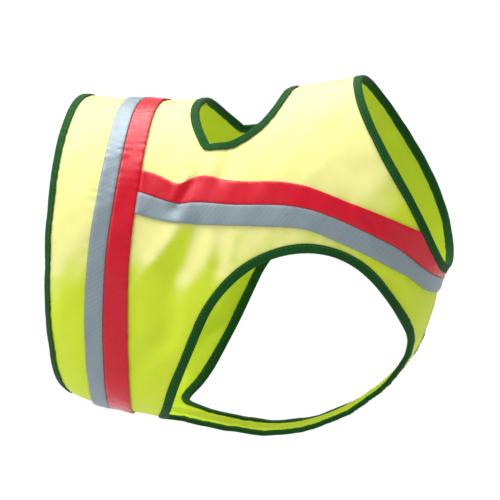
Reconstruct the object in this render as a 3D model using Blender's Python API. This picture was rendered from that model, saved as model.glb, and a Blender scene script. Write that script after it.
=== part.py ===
"""Dog safety vest in its hollow, worn shape.

A pull-on vest of fluorescent cloth: two side panels that meet along the centre back and the
centre belly, a two-colour tape round the girth, a two-colour tape round the chest, and a folded
green binding on the hem, the neck, both armholes and the opening on the back.

X runs forward, Y to the wearer's left, Z up.  The origin is on the inside of the yoke, at the
withers, where the vest hangs.  Tables are in millimetres.  A place on the cloth is (along, round):
along is the distance from the hem, measured on the centre back, and round is the share of the half
ring from the centre back (0) to the centre belly (1).
"""

from functools import lru_cache

import bmesh
import bpy
import numpy as np

# ------------------------------------------------------------------ sizes, in millimetres
MM = 0.001
CLOTH = 1.2          # wall of the panels
TAPE = 1.0           # thickness of the sewn-on tapes
LEAF = 1.0           # thickness of one leaf of the binding
GAP = 0.3            # space between pieces that touch
BINDING = 6.0        # visible width of the binding
NOSE = 1.5           # how far the binding's fold stands past the cut edge
FOLD_ROOM = 0.4      # space between the cut edge and the inside of the binding's fold
SILVER_SHARE = 0.44  # part of the girth band that is the silver tape
STEP = 2.0           # step of the differences that give the normals

RIGHT, LEFT = -1, 1

# Rings of the worn form, on the inside of the cloth.  Each ring is an egg shape in a plane that
# leans forward; wide_at is the share of its height where it is widest, squareness_* the exponents
# of its upper and lower half (2 is an ellipse), bow how far its flanks lean out of the plane.
# Columns: along, top_x, top_z, low_x, low_z, half_width, wide_at, squareness_top,
# squareness_low, bow.
RINGS = np.array([
    (0.0, -207.0, -15.0, -214.0, -260.0, 95.5, 0.50, 2.1, 2.2, 0.0),      # hem
    (6.0, -201.0, -15.4, -207.3, -263.5, 99.9, 0.50, 2.1, 2.2, 0.0),
    (61.0, -146.0, -17.6, -120.0, -280.0, 104.6, 0.52, 2.1, 2.5, 0.0),    # girth
    (119.0, -88.0, -14.6, -22.0, -287.0, 102.6, 0.52, 2.1, 2.6, 0.0),
    (175.5, -32.0, -5.8, 66.0, -233.0, 90.6, 0.50, 2.1, 2.5, 1.0),
    (205.2, -3.0, -0.5, 87.0, -190.0, 78.6, 0.50, 2.1, 2.3, 4.0),         # withers and chest
    (233.7, 25.0, 4.9, 99.5, -151.0, 64.6, 0.48, 2.1, 2.1, 6.5),
    (239.7, 31.0, 6.0, 103.3, -145.7, 61.8, 0.48, 2.1, 2.1, 7.1),         # neck
])
NECK = RINGS[-1, 0]
RING_STEPS = 360     # points of a half ring
BOW_LOW = 1.6        # exponent that moves the bow below the middle of the ring

# Edges of the band round the girth.  Columns: round, then along of its rear and front edge.
GIRTH_BAND = np.array([
    (0.00, 40.0, 71.5),
    (0.20, 40.0, 68.8),
    (0.31, 37.2, 64.2),
    (0.45, 32.0, 57.4),
    (0.60, 28.4, 52.8),
    (0.80, 24.0, 46.0),
    (1.00, 19.0, 39.5),
])

# Ribs across the chest band, from the girth to the neck edge, and on to the centre of the chest.
# Beyond NECK_RIB the neck edge cuts the red tape, so the upper end of a rib is on that edge.
# Columns: top_along, top_round, mid_along, mid_round, low_along, low_round.
CHEST_BAND = np.array([
    (66.6, 0.255, 64.5, 0.304, 62.0, 0.353),
    (82.0, 0.266, 80.0, 0.314, 78.0, 0.359),
    (96.5, 0.275, 95.0, 0.319, 93.0, 0.361),
    (101.0, 0.266, 100.0, 0.317, 98.0, 0.361),
    (129.0, 0.277, 126.8, 0.328, 124.0, 0.370),
    (160.0, 0.311, 156.0, 0.359, 152.0, 0.402),
    (179.0, 0.354, 174.0, 0.400, 169.0, 0.440),
    (194.0, 0.417, 188.5, 0.460, 182.6, 0.502),
    (212.0, 0.520, 205.0, 0.566, 198.4, 0.605),
    (224.4, 0.614, 215.0, 0.655, 206.5, 0.680),
    (234.0, 0.692, 220.0, 0.722, 211.5, 0.730),
    (234.0, 0.790, 225.0, 0.810, 216.5, 0.830),
    (234.0, 0.895, 229.3, 0.908, 219.6, 0.920),
    (234.0, 1.000, 231.0, 1.000, 220.5, 1.000),
])
NECK_RIB = 10

# Cut edge of the opening on the back, from the centre back behind it round to the centre back
# before it.  Columns: along, round.  HOLE_CORNER is the row of its rear corner.
HOLE_EDGE = np.array([
    (107.2, 0.000), (105.9, 0.076), (109.7, 0.135), (116.8, 0.190),
    (133.6, 0.188), (150.0, 0.172), (165.2, 0.132), (175.4, 0.068), (178.5, 0.000),
])
HOLE_CORNER = 3

# Cut edge of an armhole, a closed loop that starts at its upper rear and runs over the top.
# Columns: along, round.
ARMHOLE_EDGE = np.array([
    (95.2, 0.576), (101.9, 0.540), (119.6, 0.483), (139.6, 0.458), (161.9, 0.475),
    (175.3, 0.513), (187.6, 0.588), (194.1, 0.686), (195.6, 0.795), (190.6, 0.884),
    (175.8, 0.926), (148.1, 0.941), (113.0, 0.943), (78.8, 0.940), (58.8, 0.909),
    (61.8, 0.843), (74.7, 0.716), (85.6, 0.637),
])
ARMHOLE_FRONT, ARMHOLE_REAR = 9, 14     # rows at its lower front and lower rear corner

# Largest folds of the worn cloth, seen from the side: the two ends, the half width, and the
# depth, which is negative for a trough and positive for a ridge.
# Columns: x0, z0, x1, z1, half_width, depth.
FOLDS = {
    RIGHT: np.array([
        (-83.0, -106.0, -98.0, -138.0, 9.5, -3.8),      # trough under the chest tape
        (-103.0, -148.0, -110.0, -194.0, 10.0, -2.8),   # its lower end
        (-101.0, -107.0, -121.0, -136.0, 8.5, 2.6),     # ridge behind the trough
        (-65.0, -108.0, -68.0, -138.0, 6.5, -1.6),      # second, lighter trough
        (-104.0, -92.0, -90.0, -70.0, 6.0, -2.5),       # pinch across the chest tape
        (-65.0, -47.0, -67.0, -66.0, 8.0, -2.0),        # slack under the back opening
        (21.0, -32.0, 40.0, -60.0, 13.0, -3.0),         # hollow at the shoulder
        (-117.0, -203.0, -139.0, -219.0, 8.5, -2.0),    # foot of the trough, towards the girth
    ]),
    LEFT: np.array([
        (-77.0, -108.0, -92.0, -142.0, 10.0, -3.4),
        (-98.0, -152.0, -104.0, -200.0, 10.0, -2.5),
        (-95.0, -110.0, -114.0, -140.0, 8.5, 2.2),
        (-58.0, -108.0, -60.0, -136.0, 6.5, -1.5),
        (-98.0, -94.0, -86.0, -72.0, 6.0, -2.0),
        (-58.0, -47.0, -61.0, -64.0, 8.0, -1.6),
        (16.0, -36.0, 34.0, -66.0, 13.0, -2.5),
        (-112.0, -210.0, -134.0, -226.0, 8.5, -1.8),
    ]),
}

# ------------------------------------------------------------------ cells of the cloth
STRAP_ROWS = 6       # beside the rear edge of the back opening
UNDER_ROWS = 8       # between the back opening and the chest band
RED_ROWS = 2
SILVER_ROWS = 2
FLANK_ROWS = 17      # from the chest band to the centre belly
REAR_COLUMNS = 3     # from the girth band to the corner of the back opening
HOLE_COLUMNS = 9     # along the back opening
YOKE_COLUMNS = 4     # from the back opening to the neck
LOWER_COLUMNS = 5    # along the lower neck, where its edge cuts the red tape
BELLY_COLUMNS = 13   # along the centre belly
MARGIN_COLUMNS = 2   # between the hem binding and the girth band
SKIRT_ROWS = 4       # between an armhole's binding and what surrounds it

# ------------------------------------------------------------------ colours
FINISHES = {
    #                  colour (linear)          roughness
    "hi_vis_yellow": ((0.62, 0.80, 0.09, 1.0), 0.75),
    "red_tape": ((0.52, 0.012, 0.045, 1.0), 0.45),
    "silver_tape": ((0.30, 0.36, 0.40, 1.0), 0.35),
    "green_binding": ((0.012, 0.075, 0.022, 1.0), 0.85),
}


# ------------------------------------------------------------------ curves
def spline(knots, values, at):
    """Natural cubic spline through the rows of values, read at one place or at many."""
    knots, values = np.asarray(knots, float), np.asarray(values, float)
    count, spans = len(knots), np.diff(knots)
    matrix, right = np.eye(count), np.zeros_like(values)
    for i in range(1, count - 1):
        matrix[i, i - 1:i + 2] = spans[i - 1], 2 * (spans[i - 1] + spans[i]), spans[i]
        right[i] = 6 * ((values[i + 1] - values[i]) / spans[i]
                        - (values[i] - values[i - 1]) / spans[i - 1])
    bend = np.linalg.solve(matrix, right)
    at = np.atleast_1d(np.asarray(at, float))
    i = np.clip(np.searchsorted(knots, at, side="right") - 1, 0, count - 2)
    before, after = (at - knots[i])[:, None], (knots[i + 1] - at)[:, None]
    span = spans[i][:, None]
    return ((bend[i] * after ** 3 + bend[i + 1] * before ** 3) / (6 * span)
            + (values[i] / span - bend[i] * span / 6) * after
            + (values[i + 1] / span - bend[i + 1] * span / 6) * before)


def lengths(points):
    """Distance from the first point to each point of a line."""
    steps = np.linalg.norm(np.diff(points, axis=0), axis=1)
    return np.concatenate([[0.0], np.cumsum(steps)])


def spaced(line, count):
    """Count + 1 places spread evenly, as measured on the cloth, along a line of places."""
    reach = lengths(np.array([place(*spot) for spot in line]))
    wanted = np.linspace(0.0, reach[-1], count + 1)
    return np.stack([np.interp(wanted, reach, line[:, k]) for k in (0, 1)], axis=1)


def smooth(rows, first=0, last=None, dense=160):
    """Dense smooth line of places through the rows, returned from row first to row last."""
    last = len(rows) - 1 if last is None else last
    knots = lengths(np.array([place(*row) for row in rows]))
    return spline(knots, rows, np.linspace(knots[first], knots[last], dense + 1))


# ------------------------------------------------------------------ the worn form
@lru_cache(maxsize=None)
def ring(along):
    """Points of the right half ring from the centre back to the centre belly, and their reach."""
    row = spline(RINGS[:, 0], RINGS[:, 1:], along)[0]
    top_x, top_z, low_x, low_z, half_width, wide_at, square_top, square_low, bow = row
    turn = np.linspace(0.0, np.pi, RING_STEPS + 1)
    upper = turn < np.pi / 2
    power = 2.0 / np.where(upper, square_top, square_low)
    side = half_width * np.abs(np.sin(turn)) ** power
    fall = np.abs(np.cos(turn)) ** power
    height = np.where(upper, wide_at * (1.0 - fall), wide_at + (1.0 - wide_at) * fall)
    run_x, run_z = low_x - top_x, low_z - top_z
    slant = np.hypot(run_x, run_z)
    lean = bow * np.sin(np.pi * height ** BOW_LOW)
    points = np.stack([top_x + run_x * height - run_z / slant * lean,
                       -side,
                       top_z + run_z * height + run_x / slant * lean], axis=1)
    return points, lengths(points)


def place(along, around):
    """Point on the inside of the unfolded right half; past a centre line it is mirrored."""
    side = 1.0
    if around < 0.0:
        around, side = -around, -1.0
    if around > 1.0:
        around, side = 2.0 - around, -1.0
    points, reach = ring(float(along))
    spot = np.array([np.interp(around * reach[-1], reach, points[:, k]) for k in range(3)])
    return spot * (1.0, side, 1.0)


def slopes(along, around):
    """Change of the point for one millimetre along, and for one whole share round."""
    share = STEP / ring(float(along))[1][-1]
    by_along = (place(along + STEP, around) - place(along - STEP, around)) / (2 * STEP)
    by_round = (place(along, around + share) - place(along, around - share)) / (2 * share)
    return by_along, by_round


def unit(vector):
    return vector / np.linalg.norm(vector)


def normal(along, around):
    """Direction out of the cloth on the right half."""
    by_along, by_round = slopes(along, around)
    return unit(np.cross(by_round, by_along))


def fold_height(point, side):
    """How far the folds lift the cloth at a point, by its place in the side view."""
    height = 0.0
    for x0, z0, x1, z1, half_width, depth in FOLDS[side]:
        start, run = np.array([x0, z0]), np.array([x1 - x0, z1 - z0])
        to_point = point[[0, 2]] - start
        share = np.clip(to_point @ run / (run @ run), 0.0, 1.0)
        off = np.linalg.norm(to_point - share * run) / half_width
        height += depth * np.exp(-off * off)
    return height


@lru_cache(maxsize=None)
def cloth_frame(along, around, side):
    """Point on the inside of the folded cloth, and the direction out of it, on one side."""
    point, out = place(along, around), normal(along, around)
    point = point + fold_height(point, side) * out
    mirror = np.array([1.0, -side, 1.0])
    return point * mirror, out * mirror


def moved(line, distance):
    """A line of places moved sideways on the cloth, to the right of its run seen from outside."""
    points = np.array([place(*spot) for spot in line])
    result = []
    for i in range(1, len(line) - 1):
        run = unit(points[i + 1] - points[i - 1])
        aside = np.cross(run, normal(*line[i])) * distance
        by_along, by_round = slopes(*line[i])
        metric = np.array([[by_along @ by_along, by_along @ by_round],
                           [by_along @ by_round, by_round @ by_round]])
        result.append(line[i] + np.linalg.solve(metric, [by_along @ aside, by_round @ aside]))
    return np.array(result)


# ------------------------------------------------------------------ lines on the cloth
@lru_cache(maxsize=None)
def girth_edges():
    """The girth band with its nearest rows mirrored past both centres, so it crosses them square."""
    back, belly = GIRTH_BAND[2:0:-1].copy(), GIRTH_BAND[-2:-4:-1].copy()
    back[:, 0] *= -1.0
    belly[:, 0] = 2.0 - belly[:, 0]
    return np.concatenate([back, GIRTH_BAND, belly])


def girth_along(around, share):
    """Along of the girth band at a place round: share 0 is its rear edge, 1 its front edge."""
    rows = girth_edges()
    rear, front = spline(rows[:, 0], rows[:, 1:], around)[0]
    return rear + share * (front - rear)


def binding_along(around, edge, inward):
    """Along where the binding of the hem or the neck ends on the cloth."""
    by_along, _ = slopes(edge, around)
    return edge + inward * BINDING / np.linalg.norm(by_along)


def neck_line(first, last, count):
    """Places where the neck binding ends, evenly round between two shares."""
    return np.array([(binding_along(around, NECK, -1), around)
                     for around in np.linspace(first, last, count + 1)])


def chest_lines():
    """Upper, middle and lower edge of the chest band, one place for each rib of cells."""
    knots = lengths(np.array([place(*row[2:4]) for row in CHEST_BAND]))
    rear_stretch = REAR_COLUMNS + HOLE_COLUMNS + YOKE_COLUMNS
    free = np.linspace(0.0, knots[NECK_RIB], rear_stretch + 1)
    rows_free = spline(knots[:NECK_RIB + 1], CHEST_BAND[:NECK_RIB + 1], free)
    cut = np.linspace(knots[NECK_RIB], knots[-1], LOWER_COLUMNS + 1)[1:]
    rows_cut = spline(knots, CHEST_BAND, cut)
    rows = np.concatenate([rows_free, rows_cut])
    for k, around in ((0, rows[0, 1]), (2, rows[0, 3]), (4, rows[0, 5])):
        rows[0, k] = girth_along(around, 1.0)
    rows[rear_stretch:, :2] = neck_line(rows[rear_stretch, 1], 1.0, LOWER_COLUMNS)
    rows[-1, [3, 5]] = 1.0
    return rows[:, 0:2], rows[:, 2:4], rows[:, 4:6]


def hole_lines():
    """Cut edge of the back opening, and where its binding ends, a place for each cell."""
    rear = spaced(smooth(HOLE_EDGE[:HOLE_CORNER + 1]), STRAP_ROWS)
    front = spaced(smooth(HOLE_EDGE[HOLE_CORNER:]), HOLE_COLUMNS)
    edge = np.concatenate([rear, front[1:]])
    mirror = np.array([1.0, -1.0])
    run = np.concatenate([edge[1:2] * mirror, edge, edge[-2:-1] * mirror])
    seam = moved(run, BINDING)
    seam[[0, -1], 1] = 0.0
    return edge, seam


def armhole_lines():
    """Cut edge of the armhole, and where its binding ends, as closed loops of places."""
    turns = 3
    table = np.concatenate([ARMHOLE_EDGE[-turns:], ARMHOLE_EDGE, ARMHOLE_EDGE[:turns + 1]])
    stops = (0, ARMHOLE_FRONT, ARMHOLE_REAR, len(ARMHOLE_EDGE))
    counts = (len(chest_lines()[0]) - 1, BELLY_COLUMNS, FLANK_ROWS)
    parts = [spaced(smooth(table, turns + first, turns + last), count)[:-1]
             for first, last, count in zip(stops, stops[1:], counts)]
    edge = np.concatenate(parts)
    seam = moved(np.concatenate([edge[-1:], edge, edge[:1]]), -BINDING)
    return edge, seam


# ------------------------------------------------------------------ patches of cells
def straight(start, end, count):
    """Count + 1 places on the straight line between two places."""
    shares = np.linspace(0.0, 1.0, count + 1)[:, None]
    return np.asarray(start) + shares * (np.asarray(end) - np.asarray(start))


def layered(first, last, count):
    """Patch of count rows of cells between two lines."""
    return np.array([first + share * (last - first) for share in np.linspace(0, 1, count + 1)])


def filled(top, bottom, rear, front):
    """Patch inside four lines: rows run from rear to front, and follow each other downwards."""
    down = np.linspace(0.0, 1.0, len(rear))[:, None, None]
    ahead = np.linspace(0.0, 1.0, len(top))[None, :, None]
    across = (1 - down) * top[None] + down * bottom[None]
    upright = (1 - ahead) * rear[:, None] + ahead * front[:, None]
    corners = ((1 - down) * ((1 - ahead) * top[0] + ahead * top[-1])
               + down * ((1 - ahead) * bottom[0] + ahead * bottom[-1]))
    return across + upright - corners


def girth_patches(upper_rounds, band_rounds, lower_rounds):
    """Patches from the hem to the front of the girth band, and the line that ends them."""
    rounds = np.concatenate([upper_rounds, band_rounds[1:], lower_rounds[1:]])
    hem = np.array([(0.0, around) for around in rounds])
    seam = np.array([(binding_along(around, 0.0, 1), around) for around in rounds])
    rear, split, front = (np.array([(girth_along(around, share), around) for around in rounds])
                          for share in (0.0, SILVER_SHARE, 1.0))
    patches = {
        "hem_edge": layered(seam, hem, 1),
        "margin": layered(seam, rear, MARGIN_COLUMNS),
        "girth_silver": layered(rear, split, 1),
        "girth_red": layered(split, front, 1),
    }
    return patches, front


def yoke_patches(chest_top, hole_seam, girth_front):
    """Patches between the chest band and the centre back, round the back opening."""
    first, second = REAR_COLUMNS, REAR_COLUMNS + HOLE_COLUMNS
    third = second + YOKE_COLUMNS
    corner, apex = hole_seam[STRAP_ROWS], hole_seam[-1]
    drop = straight(corner, chest_top[first], UNDER_ROWS)
    fall = straight(apex, chest_top[second], UNDER_ROWS)
    neck = neck_line(0.0, chest_top[third, 1], UNDER_ROWS)
    return {
        "strap": filled(straight(girth_front[0], hole_seam[0], REAR_COLUMNS),
                        chest_top[:first + 1], girth_front,
                        np.concatenate([hole_seam[:STRAP_ROWS + 1], drop[1:]])),
        "under_hole": filled(hole_seam[STRAP_ROWS:], chest_top[first:second + 1], drop, fall),
        "yoke": filled(straight(apex, neck[0], YOKE_COLUMNS),
                       chest_top[second:third + 1], fall, neck),
    }, neck


def cloth_patches():
    """All patches of the right half, by name, and the lines that carry the bindings."""
    chest_top, chest_mid, chest_low = chest_lines()
    hole_edge, hole_seam = hole_lines()
    armhole_edge, armhole_seam = armhole_lines()
    upper = np.linspace(0.0, chest_top[0, 1], STRAP_ROWS + UNDER_ROWS + 1)
    band = np.concatenate([np.linspace(chest_top[0, 1], chest_mid[0, 1], RED_ROWS + 1),
                           np.linspace(chest_mid[0, 1], chest_low[0, 1], SILVER_ROWS + 1)[1:]])
    lower = np.linspace(chest_low[0, 1], 1.0, FLANK_ROWS + 1)
    patches, girth_front = girth_patches(upper, band, lower)
    more, neck_upper = yoke_patches(chest_top, hole_seam, girth_front[:len(upper)])
    patches.update(more)

    flank = girth_front[-len(lower):]
    belly = straight(chest_low[-1], flank[-1], BELLY_COLUMNS)
    surround = np.concatenate([chest_low[:-1], belly[:-1], flank[:0:-1]])
    neck_seam = np.concatenate([neck_upper, chest_top[-LOWER_COLUMNS:]])
    neck_edge = np.array([(NECK, around) for _, around in neck_seam])
    rib = girth_front[len(upper) - 1:len(upper) + len(band) - 1]
    red = layered(chest_top, chest_mid, RED_ROWS)
    silver = layered(chest_mid, chest_low, SILVER_ROWS)
    red[:, 0], silver[:, 0] = rib[:RED_ROWS + 1], rib[RED_ROWS:]
    patches.update({
        "chest_red": red,
        "chest_silver": silver,
        "neck_edge": layered(neck_seam, neck_edge, 1),
        "hole_edge": layered(hole_seam, hole_edge, 1),
        "armhole_edge": closed(layered(armhole_seam, armhole_edge, 1)),
        "skirt": closed(layered(surround, armhole_seam, SKIRT_ROWS)),
    })
    return patches


def closed(patch):
    """The patch with its first column repeated at its end."""
    return np.concatenate([patch, patch[:, :1]], axis=1)


# ------------------------------------------------------------------ cells to triangles
def spot_key(spot):
    return round(float(spot[0]), 5), round(float(spot[1]), 7)


def halves(a, b, c, d):
    """Two triangles of a cell, cut along its shorter diagonal, facing out of the cloth."""
    points = [place(*spot) for spot in (a, b, c, d)]
    if np.linalg.norm(points[0] - points[2]) < np.linalg.norm(points[1] - points[3]):
        pair = [(a, b, c), (a, c, d)]
    else:
        pair = [(a, b, d), (b, c, d)]
    result = []
    for p, q, r in pair:
        turn = (q[0] - p[0]) * (r[1] - p[1]) - (r[0] - p[0]) * (q[1] - p[1])
        result.append((p, q, r) if turn < 0.0 else (r, q, p))
    return result


def triangles(*patches):
    """Triangles of the patches, as places on the cloth."""
    result = []
    for patch in patches:
        for upper, lower in zip(patch, patch[1:]):
            for j in range(len(upper) - 1):
                corners = [spot_key(s) for s in (upper[j], lower[j], lower[j + 1], upper[j + 1])]
                result += halves(*corners)
    return result


def border(faces):
    """Edges that only one triangle has, as pairs of places in the triangle's own direction."""
    edges = {(f[i], f[(i + 1) % 3]) for f in faces for i in range(3)}
    return [(a, b) for a, b in sorted(edges) if (b, a) not in edges]


def on_centre(spot):
    return spot[1] in (0.0, 1.0)


def setback(edges, side, distance):
    """How far each place on a border moves into the piece, so that neighbours stay apart."""
    inward = {}
    for a, b in edges:
        (point_a, out), (point_b, _) = cloth_frame(*a, side), cloth_frame(*b, side)
        aside = unit(np.cross(out, point_b - point_a)) * -side
        for spot in (a, b):
            inward.setdefault(spot, []).append(aside)
    shift = {}
    for spot, sides in inward.items():
        mitre = 1.0 + (sides[0] @ sides[1] if len(sides) == 2 else 1.0)
        total = sides[0] + (sides[1] if len(sides) == 2 else sides[0])
        shift[spot] = distance * total / mitre
        if on_centre(spot):
            shift[spot][1] = 0.0
    return shift


# ------------------------------------------------------------------ solids
def facing_out(solid, side):
    """Triangles made for the right side, turned over where the points are mirrored."""
    return solid if side == RIGHT else [face[::-1] for face in solid]


def shell(faces, side, low, high, trimmed, across_centre):
    """Wall between two heights over the inside of the cloth, on one side.

    A piece that crosses the centre stays open there, for its other half.  A panel ends half a
    gap before the centre.
    """
    edges = border(faces)
    free = [edge for edge in edges if not (on_centre(edge[0]) and on_centre(edge[1]))]
    shift = setback(free, side, GAP / 2) if trimmed else {}
    spots = sorted({spot for face in faces for spot in face})
    points = []
    for height in (low, high):
        for spot in spots:
            point, out = cloth_frame(*spot, side)
            point = point + height * out + shift.get(spot, 0.0)
            if on_centre(spot):
                point[1] = 0.0 if across_centre else side * GAP / 2
            points.append(point)
    index, count = {spot: i for i, spot in enumerate(spots)}, len(spots)
    solid = [[index[s] + count for s in face] for face in faces]
    solid += [[index[s] for s in reversed(face)] for face in faces]
    for a, b in free if across_centre else edges:
        solid += [[index[b] + count, index[a] + count, index[a]],
                  [index[b] + count, index[a], index[b]]]
    return points, facing_out(solid, side)


# Section of the binding: the place of each corner, at the end of a leaf (0) or at the cut edge
# (1), how far it stands past that edge, and its height over the inside of the cloth.
SECTION = (
    (0, 0.0, CLOTH + GAP + LEAF),
    (1, FOLD_ROOM, CLOTH + GAP + LEAF),
    (1, NOSE, CLOTH + GAP),
    (1, NOSE, -GAP),
    (1, FOLD_ROOM, -GAP - LEAF),
    (0, 0.0, -GAP - LEAF),
    (0, 0.0, -GAP),
    (1, FOLD_ROOM, -GAP),
    (1, FOLD_ROOM, CLOTH + GAP),
    (0, 0.0, CLOTH + GAP),
)


def binding_sections(patch, side, loop):
    """Corners of the binding's section at each place along an edge patch."""
    seam, edge = [[spot_key(s) for s in line] for line in patch]
    frames = [cloth_frame(*spot, side) for spot in edge]
    points = [point for point, _ in frames]
    sections = []
    for i, (point, out) in enumerate(frames):
        inner, inner_out = cloth_frame(*seam[i], side)
        last = len(edge) - 1
        before = points[i - 1] if i else (points[last - 1] if loop else mirrored(points[1]))
        after = points[i + 1] if i < last else (points[1] if loop else mirrored(points[last - 1]))
        run = unit(after - before)
        past = unit(np.cross(run, out))
        past = past if past @ (point - inner) > 0.0 else -past
        tip = inner + GAP / 2 * unit(point - inner)
        corners = [tip + height * inner_out if at == 0 else point + beyond * past + height * out
                   for at, beyond, height in SECTION]
        sections.append(corners)
    return seam, edge, sections


def mirrored(point):
    return point * (1.0, -1.0, 1.0)


def binding(patch, side, loop=False):
    """Folded strip round a cut edge, on one side: points and triangles."""
    seam, edge, sections = binding_sections(patch, side, loop)
    points = [corner for section in sections for corner in section]
    size = len(SECTION)
    solid = []
    for i in range(len(sections) - 1):
        cut_ahead = (np.linalg.norm(place(*seam[i]) - place(*edge[i + 1]))
                     < np.linalg.norm(place(*edge[i]) - place(*seam[i + 1])))
        for k in range(size):
            n = (k + 1) % size
            a, b = i * size + k, i * size + n
            c, d = b + size, a + size
            rising = SECTION[k][0] <= SECTION[n][0]
            if rising == cut_ahead:
                solid += [[a, b, c], [a, c, d]]
            else:
                solid += [[a, b, d], [b, c, d]]
    return points, facing_out(solid, side)


def joined(*pieces):
    """Points and triangles of several pieces as one list each."""
    points, solid = [], []
    for piece_points, piece_solid in pieces:
        solid += [[i + len(points) for i in face] for face in piece_solid]
        points += piece_points
    return points, solid


# ------------------------------------------------------------------ objects
def make_material(name):
    colour, roughness = FINISHES[name]
    material = bpy.data.materials.new(name)
    material.use_nodes = True
    shader = material.node_tree.nodes["Principled BSDF"]
    shader.inputs["Base Color"].default_value = colour
    shader.inputs["Roughness"].default_value = roughness
    shader.inputs["Metallic"].default_value = 0.0
    material.diffuse_color = colour
    return material


def signed_volume(mesh):
    """Six times the volume of a closed mesh, negative if its faces point in."""
    return sum(mesh.vertices[f.vertices[0]].co.dot(
        mesh.vertices[f.vertices[1]].co.cross(mesh.vertices[f.vertices[2]].co))
        for f in mesh.polygons)


def make_object(name, piece, material, collection):
    """Object of one closed body, with its halves welded at the centre and its faces out."""
    points, solid = piece
    mesh = bpy.data.meshes.new(name)
    mesh.from_pydata([tuple(point * MM) for point in points], [], solid)
    welded = bmesh.new()
    welded.from_mesh(mesh)
    bmesh.ops.remove_doubles(welded, verts=welded.verts, dist=GAP / 10 * MM)
    welded.to_mesh(mesh)
    welded.free()
    if signed_volume(mesh) < 0.0:
        mesh.flip_normals()
    mesh.shade_smooth()
    mesh.set_sharp_from_angle(angle=np.radians(40.0))
    mesh.materials.append(material)
    obj = bpy.data.objects.new(name, mesh)
    collection.objects.link(obj)
    return obj


def build():
    for obj in list(bpy.data.objects):
        bpy.data.objects.remove(obj, do_unlink=True)
    collection = bpy.data.collections.new("dog_safety_vest")
    bpy.context.scene.collection.children.link(collection)
    materials = {name: make_material(name) for name in FINISHES}
    patches = cloth_patches()

    def add(name, piece, finish):
        make_object(name, piece, materials[finish], collection)

    whole = triangles(*patches.values())
    for side, word in ((RIGHT, "right"), (LEFT, "left")):
        add("panel_" + word, shell(whole, side, 0.0, CLOTH, False, False), "hi_vis_yellow")
        add("armhole_binding_" + word, binding(patches["armhole_edge"], side, loop=True),
            "green_binding")
    for name, finish in (("girth_silver", "silver_tape"), ("girth_red", "red_tape"),
                         ("chest_silver", "silver_tape"), ("chest_red", "red_tape")):
        faces = triangles(patches[name])
        add(name + "_tape", joined(*(shell(faces, side, CLOTH + GAP, CLOTH + GAP + TAPE, True, True)
                                     for side in (RIGHT, LEFT))), finish)
    for name in ("hem", "neck", "hole"):
        add(name + "_binding", joined(*(binding(patches[name + "_edge"], side)
                                        for side in (RIGHT, LEFT))), "green_binding")


build()
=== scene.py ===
"""Dog safety vest: the finished look of its panels, tapes, bindings and stitches.

Every panel, tape and binding is made again as a thin sheet on the form of its solid, with finer
folds, a woven, coated or ribbed finish and rows of stitches, on a plain pale stage.

X runs forward, Y to the vest's left, Z up.  Tables are in millimetres.  A place on the cloth is
(along, round): along is the distance from the hem, measured on the centre back, and round is the
share of the half ring from the centre back (0) to the centre belly (1).
"""

from functools import lru_cache
from math import cos, radians, sin, tau

import bpy
import numpy as np
from bpy.props import FloatProperty, FloatVectorProperty, PointerProperty
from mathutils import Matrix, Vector
from mathutils.kdtree import KDTree


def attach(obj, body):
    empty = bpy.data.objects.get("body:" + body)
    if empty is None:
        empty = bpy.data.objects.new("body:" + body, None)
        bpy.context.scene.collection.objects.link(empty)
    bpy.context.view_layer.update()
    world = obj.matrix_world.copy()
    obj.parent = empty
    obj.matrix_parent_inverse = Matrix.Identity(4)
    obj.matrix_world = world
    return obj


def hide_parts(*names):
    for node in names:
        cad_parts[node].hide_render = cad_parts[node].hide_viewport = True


bl_info = {
    "name": "Dog Safety Vest",
    "version": (1, 0, 0),
    "blender": (4, 5, 0),
    "location": "View3D > Sidebar > Vest",
    "description": "Finished cloth, tapes, bindings and stitches of a worn dog safety vest",
    "category": "Object",
}

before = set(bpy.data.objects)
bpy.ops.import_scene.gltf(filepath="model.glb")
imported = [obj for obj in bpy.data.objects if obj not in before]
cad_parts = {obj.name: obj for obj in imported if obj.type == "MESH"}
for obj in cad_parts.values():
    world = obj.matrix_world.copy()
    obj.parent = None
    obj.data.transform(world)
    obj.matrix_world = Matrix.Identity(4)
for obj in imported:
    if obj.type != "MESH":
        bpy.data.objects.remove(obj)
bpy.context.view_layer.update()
BODY = "root"

# ------------------------------------------------------------------ sizes, in millimetres
MM = 0.001
CLOTH = 1.2          # height of the panels' outer face over the inside of the form
PANEL_WALL = 0.9     # thickness of the panels
TAPE_TOP = 2.4       # height of the tapes' outer face
TAPE_WALL = 0.7
BINDING = 6.0        # visible width of the binding
BINDING_WALL = 0.8
SILVER_SHARE = 0.44  # part of the girth band that is the silver tape
SEAM_GAP = 0.15      # from the centre plane to each panel
SEAM_DIP = 0.35      # how far the panels' faces sink at the centre seam
ALLOWANCE = 5.0      # width of the seam allowance that is turned inside

RIGHT, LEFT = -1, 1

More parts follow.
